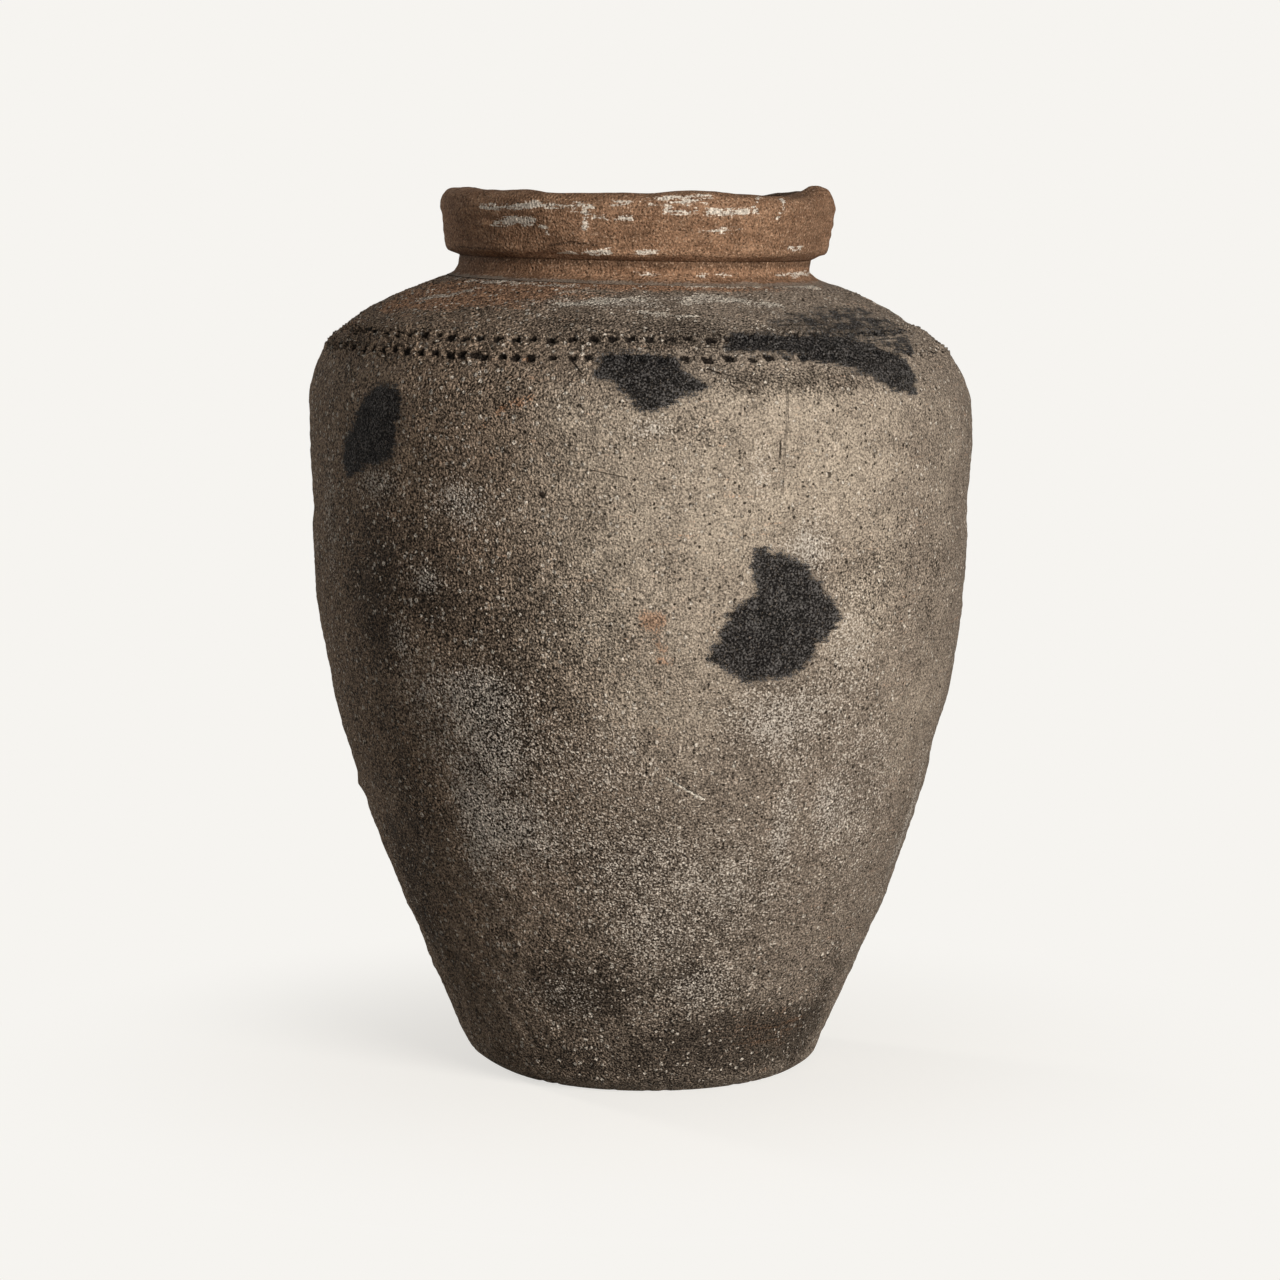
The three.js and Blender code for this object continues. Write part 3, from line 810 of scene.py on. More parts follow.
# Outlines of stains in photo pixels, traced.
BELLY_PITCH = (
    ((752, 552), (762, 547), (770, 549), (780, 553), (790, 557), (802, 562), (810, 568), (818, 578),
     (823, 587), (830, 597), (836, 607), (838, 615), (834, 625), (828, 635), (818, 643), (815, 652),
     (808, 662), (798, 670), (785, 677), (770, 680), (757, 681), (745, 678), (733, 672), (723, 666),
     (710, 659), (708, 653), (717, 643), (725, 635), (727, 625), (730, 615), (736, 605), (745, 599),
     (757, 593), (758, 583), (755, 572), (751, 560)),
)
BELLY_RUST = (
    ((636, 616), (650, 611), (666, 617), (664, 630), (652, 634), (640, 630)),
    ((649, 632), (660, 632), (664, 650), (654, 652)), ((658, 655), (672, 660), (669, 668), (658, 666)),
)
# Patches on the side away from the camera: degrees round and height, traced on the clay itself.
BACK_PITCH_LOW = (
    ((148, 236), (160, 232), (171, 243), (176, 262), (168, 284), (155, 293), (147, 281), (141, 258)),
)
BELLY_SCORES = (((868, 613), (880, 627), 0.5, 1.0), ((533, 574), (540, 568), 0.8, 1.4))


def patch_depth(skin, angle, run, corner_angles, corner_runs):
    """Millimetres inside a closed outline on the unrolled clay: distance to its sides, negative outside.

    The outline's corners are cut at a quarter and three quarters of each side, to round it.
    """
    middle = (np.angle(np.exp(1j * corner_angles).mean()), corner_runs.mean())
    x, y = unrolled(skin, angle, run, middle)
    corner_x, corner_y = unrolled(skin, corner_angles, corner_runs, middle)
    corner_x, corner_y = (np.stack([0.75 * line + 0.25 * np.roll(line, -1),
                                    0.25 * line + 0.75 * np.roll(line, -1)], axis=1).ravel()
                          for line in (corner_x, corner_y))
    depth = np.full((len(run), len(angle)), FAR)
    columns = np.flatnonzero((x > corner_x.min() - PATCH_REACH) & (x < corner_x.max() + PATCH_REACH))
    rows = np.flatnonzero((y > corner_y.min() - PATCH_REACH) & (y < corner_y.max() + PATCH_REACH))
    px, py = np.meshgrid(x[columns], y[rows])
    nearest = np.full(px.shape, np.inf)
    inside = np.zeros(px.shape, dtype=bool)
    for ax, ay, bx, by in zip(corner_x, corner_y, np.roll(corner_x, -1), np.roll(corner_y, -1)):
        side_x, side_y = bx - ax, by - ay
        share = ((px - ax) * side_x + (py - ay) * side_y) / (side_x**2 + side_y**2)
        share = np.clip(share, 0.0, 1.0)
        nearest = np.minimum(nearest, np.hypot(px - ax - share * side_x, py - ay - share * side_y))
        crosses = (ay > py) != (by > py)
        inside ^= crosses & (px < ax + (py - ay) / np.where(by == ay, 1.0, side_y) * side_x)
    depth[np.ix_(rows, columns)] = np.maximum(np.where(inside, nearest, -nearest), FAR)
    return depth


def photo_patches(skin, angle, run, outlines):
    """The greatest depth inside any of several outlines traced on the photograph."""
    return np.max([patch_depth(skin, angle, run, *find_in_photo(skin, corners))
                   for corners in outlines], axis=0)


def clay_patches(skin, angle, run, outlines):
    """The greatest depth inside any of several outlines given by degrees round and height."""
    depths = []
    for corners in outlines:
        degrees, heights = np.array(corners, dtype=float).T
        depths.append(patch_depth(skin, angle, run, np.radians(degrees), run_at_height(heights)))
    return np.max(depths, axis=0)


belly_seam = run_at_height(BELLY_SEAM_HEIGHT)
belly_runs = even_runs(lower_seam, belly_seam, ROW_STEP)
belly_stains = scored_lines(body_skin, angles, belly_runs, BELLY_SCORES)
belly_stains["pitch"] = np.maximum(photo_patches(body_skin, angles, belly_runs, BELLY_PITCH),
                                   clay_patches(body_skin, angles, belly_runs, BACK_PITCH_LOW))
belly_stains["rust"] = photo_patches(body_skin, angles, belly_runs, BELLY_RUST)
belly_wall = wall_section("belly_wall_clay", belly_runs, (lower_seam, belly_seam), seam_rows(lower_seam),
                          seam_rows(belly_seam), extra=belly_stains)
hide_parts("belly_wall")

# The shoulder wall
# The top section, drawn in towards the neck. Two rows of blunt notches were pressed round it with a
# stick while the clay was damp, and the clay crumbled along them. Pitch ran along the rows and dried.
NOTCHES = 96
NOTCH_MM = 2.4
NOTCH_WIDE = 5.4
NOTCH_TALL = 5.0
NOTCH_EDGE = 0.25
NOTCH_LEAN = 0.2
NOTCH_STRENGTHS = (0.75, 1.0)
NOTCH_SIZES = (0.85, 1.15)
NOTCH_STRAY = 0.5
# How dark the painted shade in the notches is at their deepest.
NOTCH_SHADE = 0.95
BURR_MM = 0.6
CRUMB_MM = 0.45
BURR_REACH = 5.5
ROUGH_MM = 0.2
# Where the rough skin comes in above the belly seam, and where it dies out below the neck.
ROUGH_STARTS = (70.0, 110.0)
ROUGH_STOPS = (9.0, 2.0)
PLAIN_ROW_STEP = 3.2
FINE_ROW_STEP = 1.0
TOP_ROW_STEP = 2.2
BAND_MARGIN = 5.0
UNSEEN_DEGREES = np.arange(120.0, 241.0, 20.0)
# The two rows in photo pixels: the line of each, and where along it the notches that show are.
UPPER_ROW = ((340, 328), (375, 331), (425, 333), (453, 335), (500, 337), (550, 340), (612, 340), (688, 341),
             (725, 340), (905, 326))
UPPER_NOTCHES = (375, 389, 402, 413, 427, 440, 453, 467, 481, 500, 517, 533, 551, 572, 593, 612, 630,
                 650, 670, 688, 711)
LOWER_ROW = ((345, 345), (365, 348), (383, 349), (435, 353), (485, 356), (532, 356), (589, 360), (640, 361),
             (706, 358), (751, 356), (818, 357), (904, 354))
LOWER_NOTCHES = (355, 365, 373, 383, 395, 407, 421, 435, 450, 462, 473, 485, 503, 517, 532, 553, 573,
                 589, 606, 623, 640, 662, 684, 706, 728, 751, 767, 785, 802, 818)
SHOULDER_PITCH_STAINS = (
    ((594, 375), (599, 366), (600, 355), (622, 353), (645, 355), (668, 355), (678, 363), (682, 369),
     (689, 378), (697, 381), (706, 379), (710, 386), (704, 390), (692, 392), (680, 393), (671, 400),
     (667, 405), (658, 408), (646, 409), (636, 405), (630, 399), (623, 391), (614, 382), (605, 377)),
    ((726, 338), (743, 332), (764, 332), (800, 333), (840, 336), (866, 343), (892, 350), (909, 362),
     (917, 380), (914, 393), (904, 396), (893, 390), (882, 382), (870, 373), (852, 367), (834, 364),
     (816, 359), (798, 356), (773, 353), (749, 352), (731, 353), (723, 349)),
    ((378, 384), (392, 386), (400, 394), (401, 402), (398, 412), (396, 425), (396, 437), (394, 446),
     (392, 455), (386, 462), (375, 464), (362, 466), (356, 473), (349, 477), (344, 468), (343, 456),
     (345, 442), (348, 432), (353, 424), (359, 410), (366, 398), (371, 390)),
)
# Where the pitch is thin, and the clay shows through it.
SHOULDER_THIN_PITCH = (
    ((764, 334), (773, 321), (785, 315), (810, 311), (834, 308), (858, 309), (879, 315), (898, 324),
     (908, 340), (910, 357), (880, 348), (840, 338), (800, 335)),
)
THIN_DEPTH = -0.25
BACK_PITCH_HIGH = (
    ((-158, 452), (-140, 456), (-126, 448), (-131, 434), (-149, 438)),
    ((102, 405), (112, 410), (117, 396), (113, 372), (104, 366), (98, 384)),
)
SHOULDER_RUST = (
    ((496, 405), (520, 398), (532, 397), (530, 404), (505, 411), (496, 417)),
    ((478, 424), (486, 417), (489, 422), (481, 428)), ((519, 357), (526, 356), (526, 362), (520, 362)),
)
SHOULDER_SCORES = (
    ((787, 385), (785, 440), 0.35, 2.2), ((785, 440), (783, 495), 0.3, 2.0),
    ((781, 440), (780, 458), 0.9, 1.3), ((829, 469), (829, 478), 0.8, 2.8),
    ((707, 369), (722, 375), 0.95, 1.6), ((569, 357), (582, 373), 0.95, 1.4),
    ((590, 470), (627, 477), 0.6, 0.8), ((892, 432), (895, 448), 0.35, 1.4),
    ((542, 494), (542, 494), 1.0, 5.6), ((731, 385), (736, 392), 0.7, 1.0),
    ((843, 492), (846, 500), 0.6, 1.6),
)
SHOULDER_LIME = (
    ((556, 305), (600, 302), 4.0), ((600, 302), (648, 299), 4.6), ((682, 303), (700, 296), 4.6),
    ((700, 296), (742, 300), 5.0), ((762, 303), (772, 306), 3.6), ((520, 282), (570, 287), 2.4),
    ((420, 300), (470, 290), 2.6), ((470, 281), (520, 276), 2.2), ((640, 313), (690, 318), 2.0),
    ((690, 279), (760, 283), 2.0), ((776, 272), (812, 274), 2.0), ((560, 292), (590, 290), 2.0),
)


def strokes(skin, angle, run, lines):
    """Millimetres inside any of several round-ended strokes: half a stroke's width less the gap to it."""
    gaps = [width / 2 - np.hypot(*beside_line(skin, angle, run, (start, stop)))
            for start, stop, width in lines]
    return np.maximum(np.max(gaps, axis=0), FAR)


def harmonics(angle):
    """One, then the cosine and sine of an angle and of twice it, as rows."""
    return np.stack([np.ones_like(angle), np.cos(angle), np.sin(angle),
                     np.cos(2 * angle), np.sin(2 * angle)])


def level_fit(angle, run):
    """A row's run as mean plus first and second harmonics of the angle, with the unseen back held level."""
    unseen = np.radians(UNSEEN_DEGREES)
    angle = np.concatenate([angle, unseen])
    run = np.concatenate([run, np.full(len(unseen), run.mean())])
    parts = np.linalg.lstsq(harmonics(angle).T, run, rcond=None)[0]
    return lambda angle: parts @ harmonics(angle)


def notch_row(line, notches):
    """A row's run for any angle, and its notches' angles: those photographed, then even ones behind."""
    row_x, row_y = np.array(line, dtype=float).T
    level = level_fit(*find_in_photo(body_skin, line))
    seen = find_in_photo(body_skin, np.stack([notches, np.interp(notches, row_x, row_y)], axis=1))[0]
    gap = seen[0] + 2 * np.pi - seen[-1]
    count = int(round(gap * NOTCHES / (2 * np.pi)))
    return level, np.concatenate([seen, seen[-1] + gap * np.arange(1, count) / count])


notch_rows = [notch_row(UPPER_ROW, UPPER_NOTCHES), notch_row(LOWER_ROW, LOWER_NOTCHES)]


def notch_depth(angle, run):
    """How deep the stick went, from 0 to 1: leaning blocks with soft edges, uneven in size and strength."""
    depth = np.zeros((len(run), len(angle)))
    for order, (level, centres) in enumerate(notch_rows):
        random = np.random.default_rng(51 + order)
        strength = random.uniform(*NOTCH_STRENGTHS, len(centres))
        size = random.uniform(*NOTCH_SIZES, len(centres))
        shift = random.normal(0.0, NOTCH_STRAY, len(centres))
        gap = turned_from(angle[:, None], centres[None, :])
        near = np.abs(gap).argmin(axis=1)
        across = gap[np.arange(len(angle)), near] * body_radius(level(np.zeros(1)))
        up = run[:, None] - (level(angle) + shift[near])[None, :]
        half_wide, half_tall = size[near] * NOTCH_WIDE / 2, size[near] * NOTCH_TALL / 2
        inside = np.minimum(half_wide[None, :] - np.abs(across[None, :] + NOTCH_LEAN * up),
                            half_tall[None, :] - np.abs(up))
        depth = np.maximum(depth, strength[near] / (1.0 + np.exp(-inside / NOTCH_EDGE)))
    return depth


shoulder_top = run_at_height(SHOULDER_HEIGHT)


def shoulder_relief(angle, run):
    """The wall's relief with a crumbled burr along each notched row, less the notches in it."""
    burr = sum(np.exp(-((run[:, None] - level(angle)[None, :]) / BURR_REACH)**2) for level, _ in notch_rows)
    crumbs = ripples(angle, run, 53, (90, 260), (3.5, 8.0), 64)
    ends = np.concatenate([belly_seam + np.array(ROUGH_STARTS), shoulder_top - np.array(ROUGH_STOPS)])
    rough = ROUGH_MM * eased(run, ends, (0.0, 1.0, 1.0, 0.0))[:, None]
    return (wall_relief(angle, run) + burr * BURR_MM + (rough + burr * CRUMB_MM) * crumbs
            - NOTCH_MM * notch_depth(angle, run))


def shoulder_surface(angle, run):
    """The body's outside with the notched rows pressed in."""
    return wall_surface(angle, run, shoulder_relief)


row_levels = np.concatenate([level(angles) for level, _ in notch_rows])
band = (row_levels.min() - BAND_MARGIN, row_levels.max() + BAND_MARGIN)
shoulder_runs = np.concatenate([even_runs(belly_seam, band[0], PLAIN_ROW_STEP)[:-1],
                                even_runs(*band, FINE_ROW_STEP)[:-1],
                                even_runs(band[1], shoulder_top, TOP_ROW_STEP)])
shoulder_stains = scored_lines(body_skin, angles, shoulder_runs, SHOULDER_SCORES)
thin_pitch = photo_patches(body_skin, angles, shoulder_runs, SHOULDER_THIN_PITCH)
shoulder_stains["pitch"] = np.max([photo_patches(body_skin, angles, shoulder_runs, SHOULDER_PITCH_STAINS),
                                   np.minimum(thin_pitch, THIN_DEPTH),
                                   clay_patches(body_skin, angles, shoulder_runs, BACK_PITCH_HIGH)], axis=0)
shoulder_stains["rust"] = photo_patches(body_skin, angles, shoulder_runs, SHOULDER_RUST)
shoulder_stains["lime"] = strokes(body_skin, angles, shoulder_runs, SHOULDER_LIME)
# Painted shade in the notches, darker where they are deeper.
shoulder_stains["shade_and_chips"] = NOTCH_SHADE * notch_depth(angles, shoulder_runs)
seat_run = outline_run[-1]
seat_line = body_line(np.array([0.5 * (shoulder_top + seat_run), seat_run]))
upper_runs = outline_run[-(CURVE_POINTS + LEDGE_POINTS):]
mouth_inside = np.interp(-MOUTH_RADIUS, -wall_inside(upper_runs)[0], upper_runs)
shoulder_wall = wall_section("shoulder_wall_clay", shoulder_runs, (belly_seam, mouth_inside),
                             seam_rows(belly_seam), seat_line[:2], shoulder_surface, shoulder_stains)
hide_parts("shoulder_wall")

# The neck ring
# A short upright coil seated on the shoulder's sloping edge, with its foot smeared out over the shoulder.
# Most of it is hidden in the rim collar: only a narrow red-brown band shows under the collar's hem.
NECK_RADIUS = 106.0
NECK_FILLET_HEIGHT = 5.0
NECK_SHOWING = 2.4
COLLAR_DROP = 21.1
NECK_DAB_MM = 0.3
NECK_DABS_FROM = 6.0
NECK_DABS_RISE = 5.0
NECK_DABS_FALL = 2.0
FILLET_ROWS = 20
NECK_SMEAR = 1.2
NECK_SMEAR_EDGE = 0.12
NECK_GREY = 4.6
NECK_LIME = (((636, 268), (660, 268), 1.6), ((776, 272), (810, 272), 1.6), ((700, 266), (730, 268), 1.0))
fillet_corner = SHOULDER_HEIGHT + (NECK_FOOT_RADIUS - NECK_RADIUS) * np.tan(SHOULDER_PITCH)
crease_height = fillet_corner + NECK_FILLET_HEIGHT + NECK_SHOWING
neck_top = crease_height + COLLAR_DROP
# A section is a closed line: distances along it, radius, height and outward direction.
Section = namedtuple("Section", "run radius height out up")


def section_line(*stretches):
    """A closed section from stretches of (points, spacing), each laid out again at even distances.

    Outwards is square to the path, which goes up the outside and down the inside.
    """
    laid = []
    for points, spacing in stretches:
        points = np.asarray(points, dtype=float)
        run = run_along(points)
        at = even_runs(0.0, run[-1], spacing)[:-1]
        laid.append(np.stack([np.interp(at, run, points[:, 0]), np.interp(at, run, points[:, 1])], axis=1))
    section = np.concatenate(laid)
    way = np.roll(section, -1, axis=0) - np.roll(section, 1, axis=0)
    way = way / np.hypot(*way.T)[:, None]
    return Section(run_along(section), section[:, 0], section[:, 1], way[:, 1], -way[:, 0])


def section_at(section, run):
    """Radius, height and outward direction at distances along a section."""
    return [np.interp(run, section.run, part) for part in section[1:]]


def rubbed_red_terracotta():
    """The same earthenware with its slip rubbed off by hands: red-brown, wiped level, limed in places.

    The eye sees matt brick brown in level streaks, sandy grain, soot, painted shade in the crease under
    the hem and down into the mouth, dark chips, and chalky white strokes of lime wash worn to their
    thickest parts.
    """
    stains = ("soot_and_shade", "shade_and_chips", "lime", "chalk", "grey")
    material, tree, place, stain = clay_finish("rubbed_red_terracotta", stains)
    smear = node(tree, "ShaderNodeMapping", {"Vector": place, "Scale": (1.0, 1.0, 7.0)})
    streak, brush, mottle = (
        node(tree, "ShaderNodeTexNoise", {"Vector": source, "Scale": per_metre(size), "Detail": detail,
                                          "Roughness": rough})
        for source, size, detail, rough in (
            (smear, 28.0, 6.0, 0.66), (smear, 10.0, 4.0, 0.65), (place, 9.0, 6.0, 0.68)))
    grit = node(tree, "ShaderNodeTexNoise", {"Vector": place, "Scale": per_metre(1.3), "Detail": 1.0,
                                             "Roughness": 0.5}, "Color")
    sand, pore, dust = node(tree, "ShaderNodeSeparateColor", {"Color": grit}).node.outputs

    # Brick brown streaked by the wiping hand, dull in places, with soot, dark chips, and painted shade in
    # the crease under the hem and down into the mouth.
    wiped = cover(tree, ((streak, 1.0), (mottle, 0.3)), 0.45, 0.9)
    dull = cover(tree, ((mottle, -1.0),), -0.54, -0.38, 0.3)
    soot_and_shade_cover = cover(tree, ((stain["soot_and_shade"], 1.0), (mottle, 0.8)), 0.6, 1.25, 0.8)
    pit = cover(tree, ((sand, -1.0), (pore, -0.7)), -0.74, -0.6, 0.7)
    fleck = cover(tree, ((sand, 1.0),), 0.6, 0.7, 0.5)

    # Lime wash: brushed strokes worn to level streaks, and thin chalk that is left only on the ridges.
    fray = ((brush, 11.0), (dust, 4.0), (mottle, 7.0))
    middle = 0.5 * sum(weight for _, weight in fray)
    limed = cover(tree, ((stain["lime"], 1.0), *fray), middle - 0.2, middle + 1.2, 0.8)
    greyed = cover(tree, ((stain["grey"], 1.0), *fray), middle - 1.0, middle + 1.5, 0.9)
    chalk = cover(tree, ((stain["chalk"], 1.0), (brush, 1.0), (dust, 0.6)), 1.1, 1.4, 0.6)

    colour = layered(tree, "#7F604A", (
        (wiped, "#A17F65"), (dull, "#634C3B"), (soot_and_shade_cover, "#3D3026"), (stain["shade_and_chips"], "#2E241D"),
        (pit, "#3B2D23"), (fleck, "#C2A68D"), (greyed, "#8B7E71"), (chalk, "#CFC4B6"), (limed, "#D8CFC2")))
    tone = node(tree, "ShaderNodeMath", {0: np.e, 1: weighed(tree, ((dust, 2.0), (mottle, 0.4)), -1.2)},
                operation="POWER")
    colour = node(tree, "ShaderNodeVectorMath", {0: colour, "Scale": tone}, operation="SCALE")
    clay_skin(tree, colour, ((sand, 1.9), (streak, 1.2), (pit, -0.5)), 0.6)
    return material


rim_clay = rubbed_red_terracotta()


def neck_line():
    """The coil's section: smeared foot, upright outside, flat top, upright mouth, and the sloping seat."""
    slope = np.tan(SHOULDER_PITCH)
    foot = (NECK_FOOT_RADIUS + NECK_SMEAR, SHOULDER_HEIGHT - NECK_SMEAR * slope + NECK_SMEAR_EDGE)
    upright = (NECK_RADIUS, fillet_corner + NECK_FILLET_HEIGHT)
    top = (NECK_RADIUS, neck_top)
    mouth_top = (MOUTH_RADIUS, neck_top)
    mouth_seat = (MOUTH_RADIUS, SHOULDER_HEIGHT + (NECK_FOOT_RADIUS - MOUTH_RADIUS) * slope)
    fillet = rounded(foot, (NECK_RADIUS, fillet_corner), upright)
    return section_line((fillet, 0.6), ((upright, top), 1.2), ((top, mouth_top), 5.0),
                        ((mouth_top, mouth_seat), 2.5), ((mouth_seat, foot), 6.0))


neck = neck_line()
neck_shown = np.interp(crease_height, neck.height[:FILLET_ROWS], neck.run[:FILLET_ROWS])


def neck_surface(angle, run):
    """The neck on a grid of section runs by angles: wet fingers dabbed the part that shows."""
    shown = (np.clip((run - NECK_DABS_FROM) / NECK_DABS_RISE, 0.0, 1.0)
             * np.clip((neck_shown - run) / NECK_DABS_FALL, 0.0, 1.0))
    dabs = NECK_DAB_MM * shown[:, None] * ripples(angle, run, 61, (6, 40), (8.0, 30.0))
    return pushed_out(angle, section_at(neck, run), dabs)


def bell_round(angle, degrees, spread):
    """A bell from 0 to 1 round the jar about some degrees from the front, for every column of a grid."""
    return np.exp(-(turned_from(angle, np.radians(degrees)) / np.radians(spread))**2)[None, :]


neck_skin = Skin(neck_surface, lambda run: np.interp(run, neck.run, neck.radius),
                 np.arange(0.0, neck_shown, 0.5))
neck_points = neck_surface(angles, neck.run)
neck_normals = grid_normals(neck_points, True)
neck_normals[0] = grid_normals(neck_points[:2])[0]
# Painted shade on the neck, darker towards the crease under the collar's hem.
neck_crease_shade = eased(neck.height, (crease_height - 1.5, crease_height + 0.5), (0.0, 0.45))[:, None]
neck_stains = {
    "soot_and_shade": 0.05 + 0.5 * bell_round(angles, -84.0, 26.0),
    "shade_and_chips": neck_crease_shade,
    "lime": strokes(neck_skin, angles, neck.run, NECK_LIME),
    "chalk": 0.0,
    "grey": NECK_GREY - neck.run[:, None],
}
neck_ring = clay_piece("neck_ring_clay", neck_points, neck_normals, neck_stains, (rim_clay, rim_clay), 0)
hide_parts("neck_ring")

# The rim collar
# A fat coil set on the neck, folded down over its outside and wiped round with a wet hand.
# Its lip waves, its hem sags to the left, and lime was brushed on it.
LIP_HEIGHT = 21.0
COLLAR_THICKNESS = 13.2
COLLAR_TAPER = 4.2
COLLAR_BULGE_DROP = 11.0
HEM_RISE = 7.2
CREASE_LIFT = 3.0
HEM_SAG = 1.2
HEM_SAG_BELOW = 3.0
HEM_SAG_FADE = 10.0
HEM_ROUNDING = 3.0
LIP_ROUNDING = 10.0
MOUTH_ROUNDING = 8.0
COLLAR_STEP = 1.0
COLLAR_LUMP_MM = 0.45
COLLAR_WIPE_MM = 0.16
LUMPS_FROM = 2.0
LUMPS_RISE = 6.0
LUMPS_FALL = 8.0
lip_top = neck_top + LIP_HEIGHT
hem_height = crease_height + HEM_RISE
collar_widest = NECK_RADIUS + COLLAR_THICKNESS
# Height of the lip above or below level, by degrees round from the front to the right.
LIP_WAVE_DEGREES = (-180, -160, -130, -110, -90, -72, -58, -46, -27, 0, 16, 26, 35, 45, 60, 80, 104,
                    117, 132, 160, 180)
LIP_WAVES = (-4.4, -4.0, -3.0, 0.0, 2.2, 2.1, 1.7, 0.8, 0.2, -0.6, 1.0, 0.4, -1.2, -2.1, -2.1, -1.0, -0.4,
             -1.5, -3.6, -4.4, -4.4)
# A knob on the outer side of the lip: degrees from the front, spread in degrees, and height.
# It comes up to its full height over KNOB_SLOPE millimetres outside the mouth's rounding.
KNOB = (77.0, 8.0, 3.4)
KNOB_SLOPE = 7.0
# Dark places on the collar: degrees from the front, spread in degrees, and strength.
COLLAR_SOOT = ((-84.0, 22.0, 0.24), (58.0, 36.0, 0.4))
# Lime strokes and dark chips in photo pixels: start, end, and width in millimetres.
COLLAR_LIME = (
    ((482, 207), (540, 205), 3.6), ((540, 205), (592, 206), 3.6), ((495, 222), (532, 221), 5.5),
    ((541, 225), (547, 232), 2.4), ((585, 208), (586, 218), 2.6), ((586, 218), (584, 228), 2.2),
    ((594, 217), (604, 217), 2.6), ((612, 203), (628, 203), 2.2), ((618, 218), (630, 218), 2.6),
    ((645, 200), (710, 196), 2.2), ((650, 204), (706, 201), 2.2), ((665, 211), (695, 213), 2.6),
    ((708, 212), (756, 211), 3.8), ((758, 196), (754, 207), 1.8), ((754, 207), (759, 214), 1.8),
    ((781, 199), (784, 209), 1.8), ((784, 209), (777, 219), 1.8), ((558, 253), (608, 252), 2.8),
    ((636, 253), (656, 253), 2.2), ((788, 249), (800, 249), 2.2), ((700, 232), (740, 229), 1.4),
)
COLLAR_CHIPS = (((548, 246), (572, 242), 2.0), ((572, 242), (597, 245), 1.8), ((455, 246), (500, 250), 1.5))


def collar_line():
    """The collar's section: underside up to the hem, leaning outside, lip, mouth, then the hidden seat."""
    hem = collar_widest - COLLAR_TAPER
    crease = (NECK_RADIUS, crease_height + CREASE_LIFT)
    slope = (hem_height - crease[1]) / (hem - NECK_RADIUS)
    under = (crease, (hem - HEM_ROUNDING, hem_height - slope * HEM_ROUNDING))
    hem_turn = rounded(under[1], (hem, hem_height), (hem, hem_height + HEM_ROUNDING))
    face = (hem_turn[-1], (collar_widest, lip_top - COLLAR_BULGE_DROP))
    lip_turn = rounded(face[1], (collar_widest, lip_top), (collar_widest - LIP_ROUNDING, lip_top))
    crown = (lip_turn[-1], (MOUTH_RADIUS + MOUTH_ROUNDING, lip_top))
    mouth_turn = rounded(crown[1], (MOUTH_RADIUS, lip_top), (MOUTH_RADIUS, lip_top - MOUTH_ROUNDING))
    mouth = (mouth_turn[-1], (MOUTH_RADIUS, neck_top))
    seat = (mouth[1], (NECK_RADIUS, neck_top))
    hang = (seat[1], crease)
    shown = ((part, COLLAR_STEP) for part in (under, hem_turn, face, lip_turn))
    return section_line(*shown, (crown, 1.6), (mouth_turn, 1.6), (mouth, 2.5), (seat, 6.0), (hang, 6.0))


collar = collar_line()
collar_crown = collar.run[np.argmax(collar.height >= lip_top - 0.01)]
collar_mouth = collar.run[np.argmax(collar.radius < MOUTH_RADIUS + 1.5)]
collar_end = collar.run[-1] - (NECK_RADIUS - MOUTH_RADIUS) - COLLAR_DROP


def collar_surface(angle, run):
    """The collar on a grid of section runs by angles: lumps and wipes, and a waving lip with a knob."""
    radius, height, out, up = (part[:, None] for part in section_at(collar, run))
    free = (np.clip((run - LUMPS_FROM) / LUMPS_RISE, 0.0, 1.0)
            * np.clip((collar_end - run) / LUMPS_FALL, 0.0, 1.0))
    proud = (COLLAR_LUMP_MM * ripples(angle, run, 71, (3, 14), (30.0, 90.0))
             + COLLAR_WIPE_MM * ripples(angle, run, 72, (2, 30), (5.0, 16.0))) * free[:, None]
    wave = eased(turned_from(angle, 0.0), np.radians(LIP_WAVE_DEGREES), LIP_WAVES)[None, :]
    knob_in = MOUTH_RADIUS + MOUTH_ROUNDING
    outer = eased(radius[:, 0], (knob_in, knob_in + KNOB_SLOPE), (0.0, 1.0))[:, None]
    wave = wave + KNOB[2] * bell_round(angle, *KNOB[:2]) * outer
    lift = wave * np.clip((height - hem_height) / (lip_top - hem_height), 0.0, 1.0)
    low = np.clip((neck_top - HEM_SAG_BELOW - height) / HEM_SAG_FADE, 0.0, 1.0)
    sag = HEM_SAG * bell_round(angle, -90.0, 50.0) * low
    return handmade(angle[None, :], radius + out * proud, height + up * proud + lift - sag)


collar_skin = Skin(collar_surface, lambda run: np.interp(run, collar.run, collar.radius),
                   np.arange(4.0, collar_crown + 8.0, 0.6))
collar_points = collar_surface(angles, collar.run)
collar_chips = np.clip(strokes(collar_skin, angles, collar.run, COLLAR_CHIPS), 0.0, 0.8)
collar_soot = sum(strength * bell_round(angles, degrees, spread)
                  for degrees, spread, strength in COLLAR_SOOT)
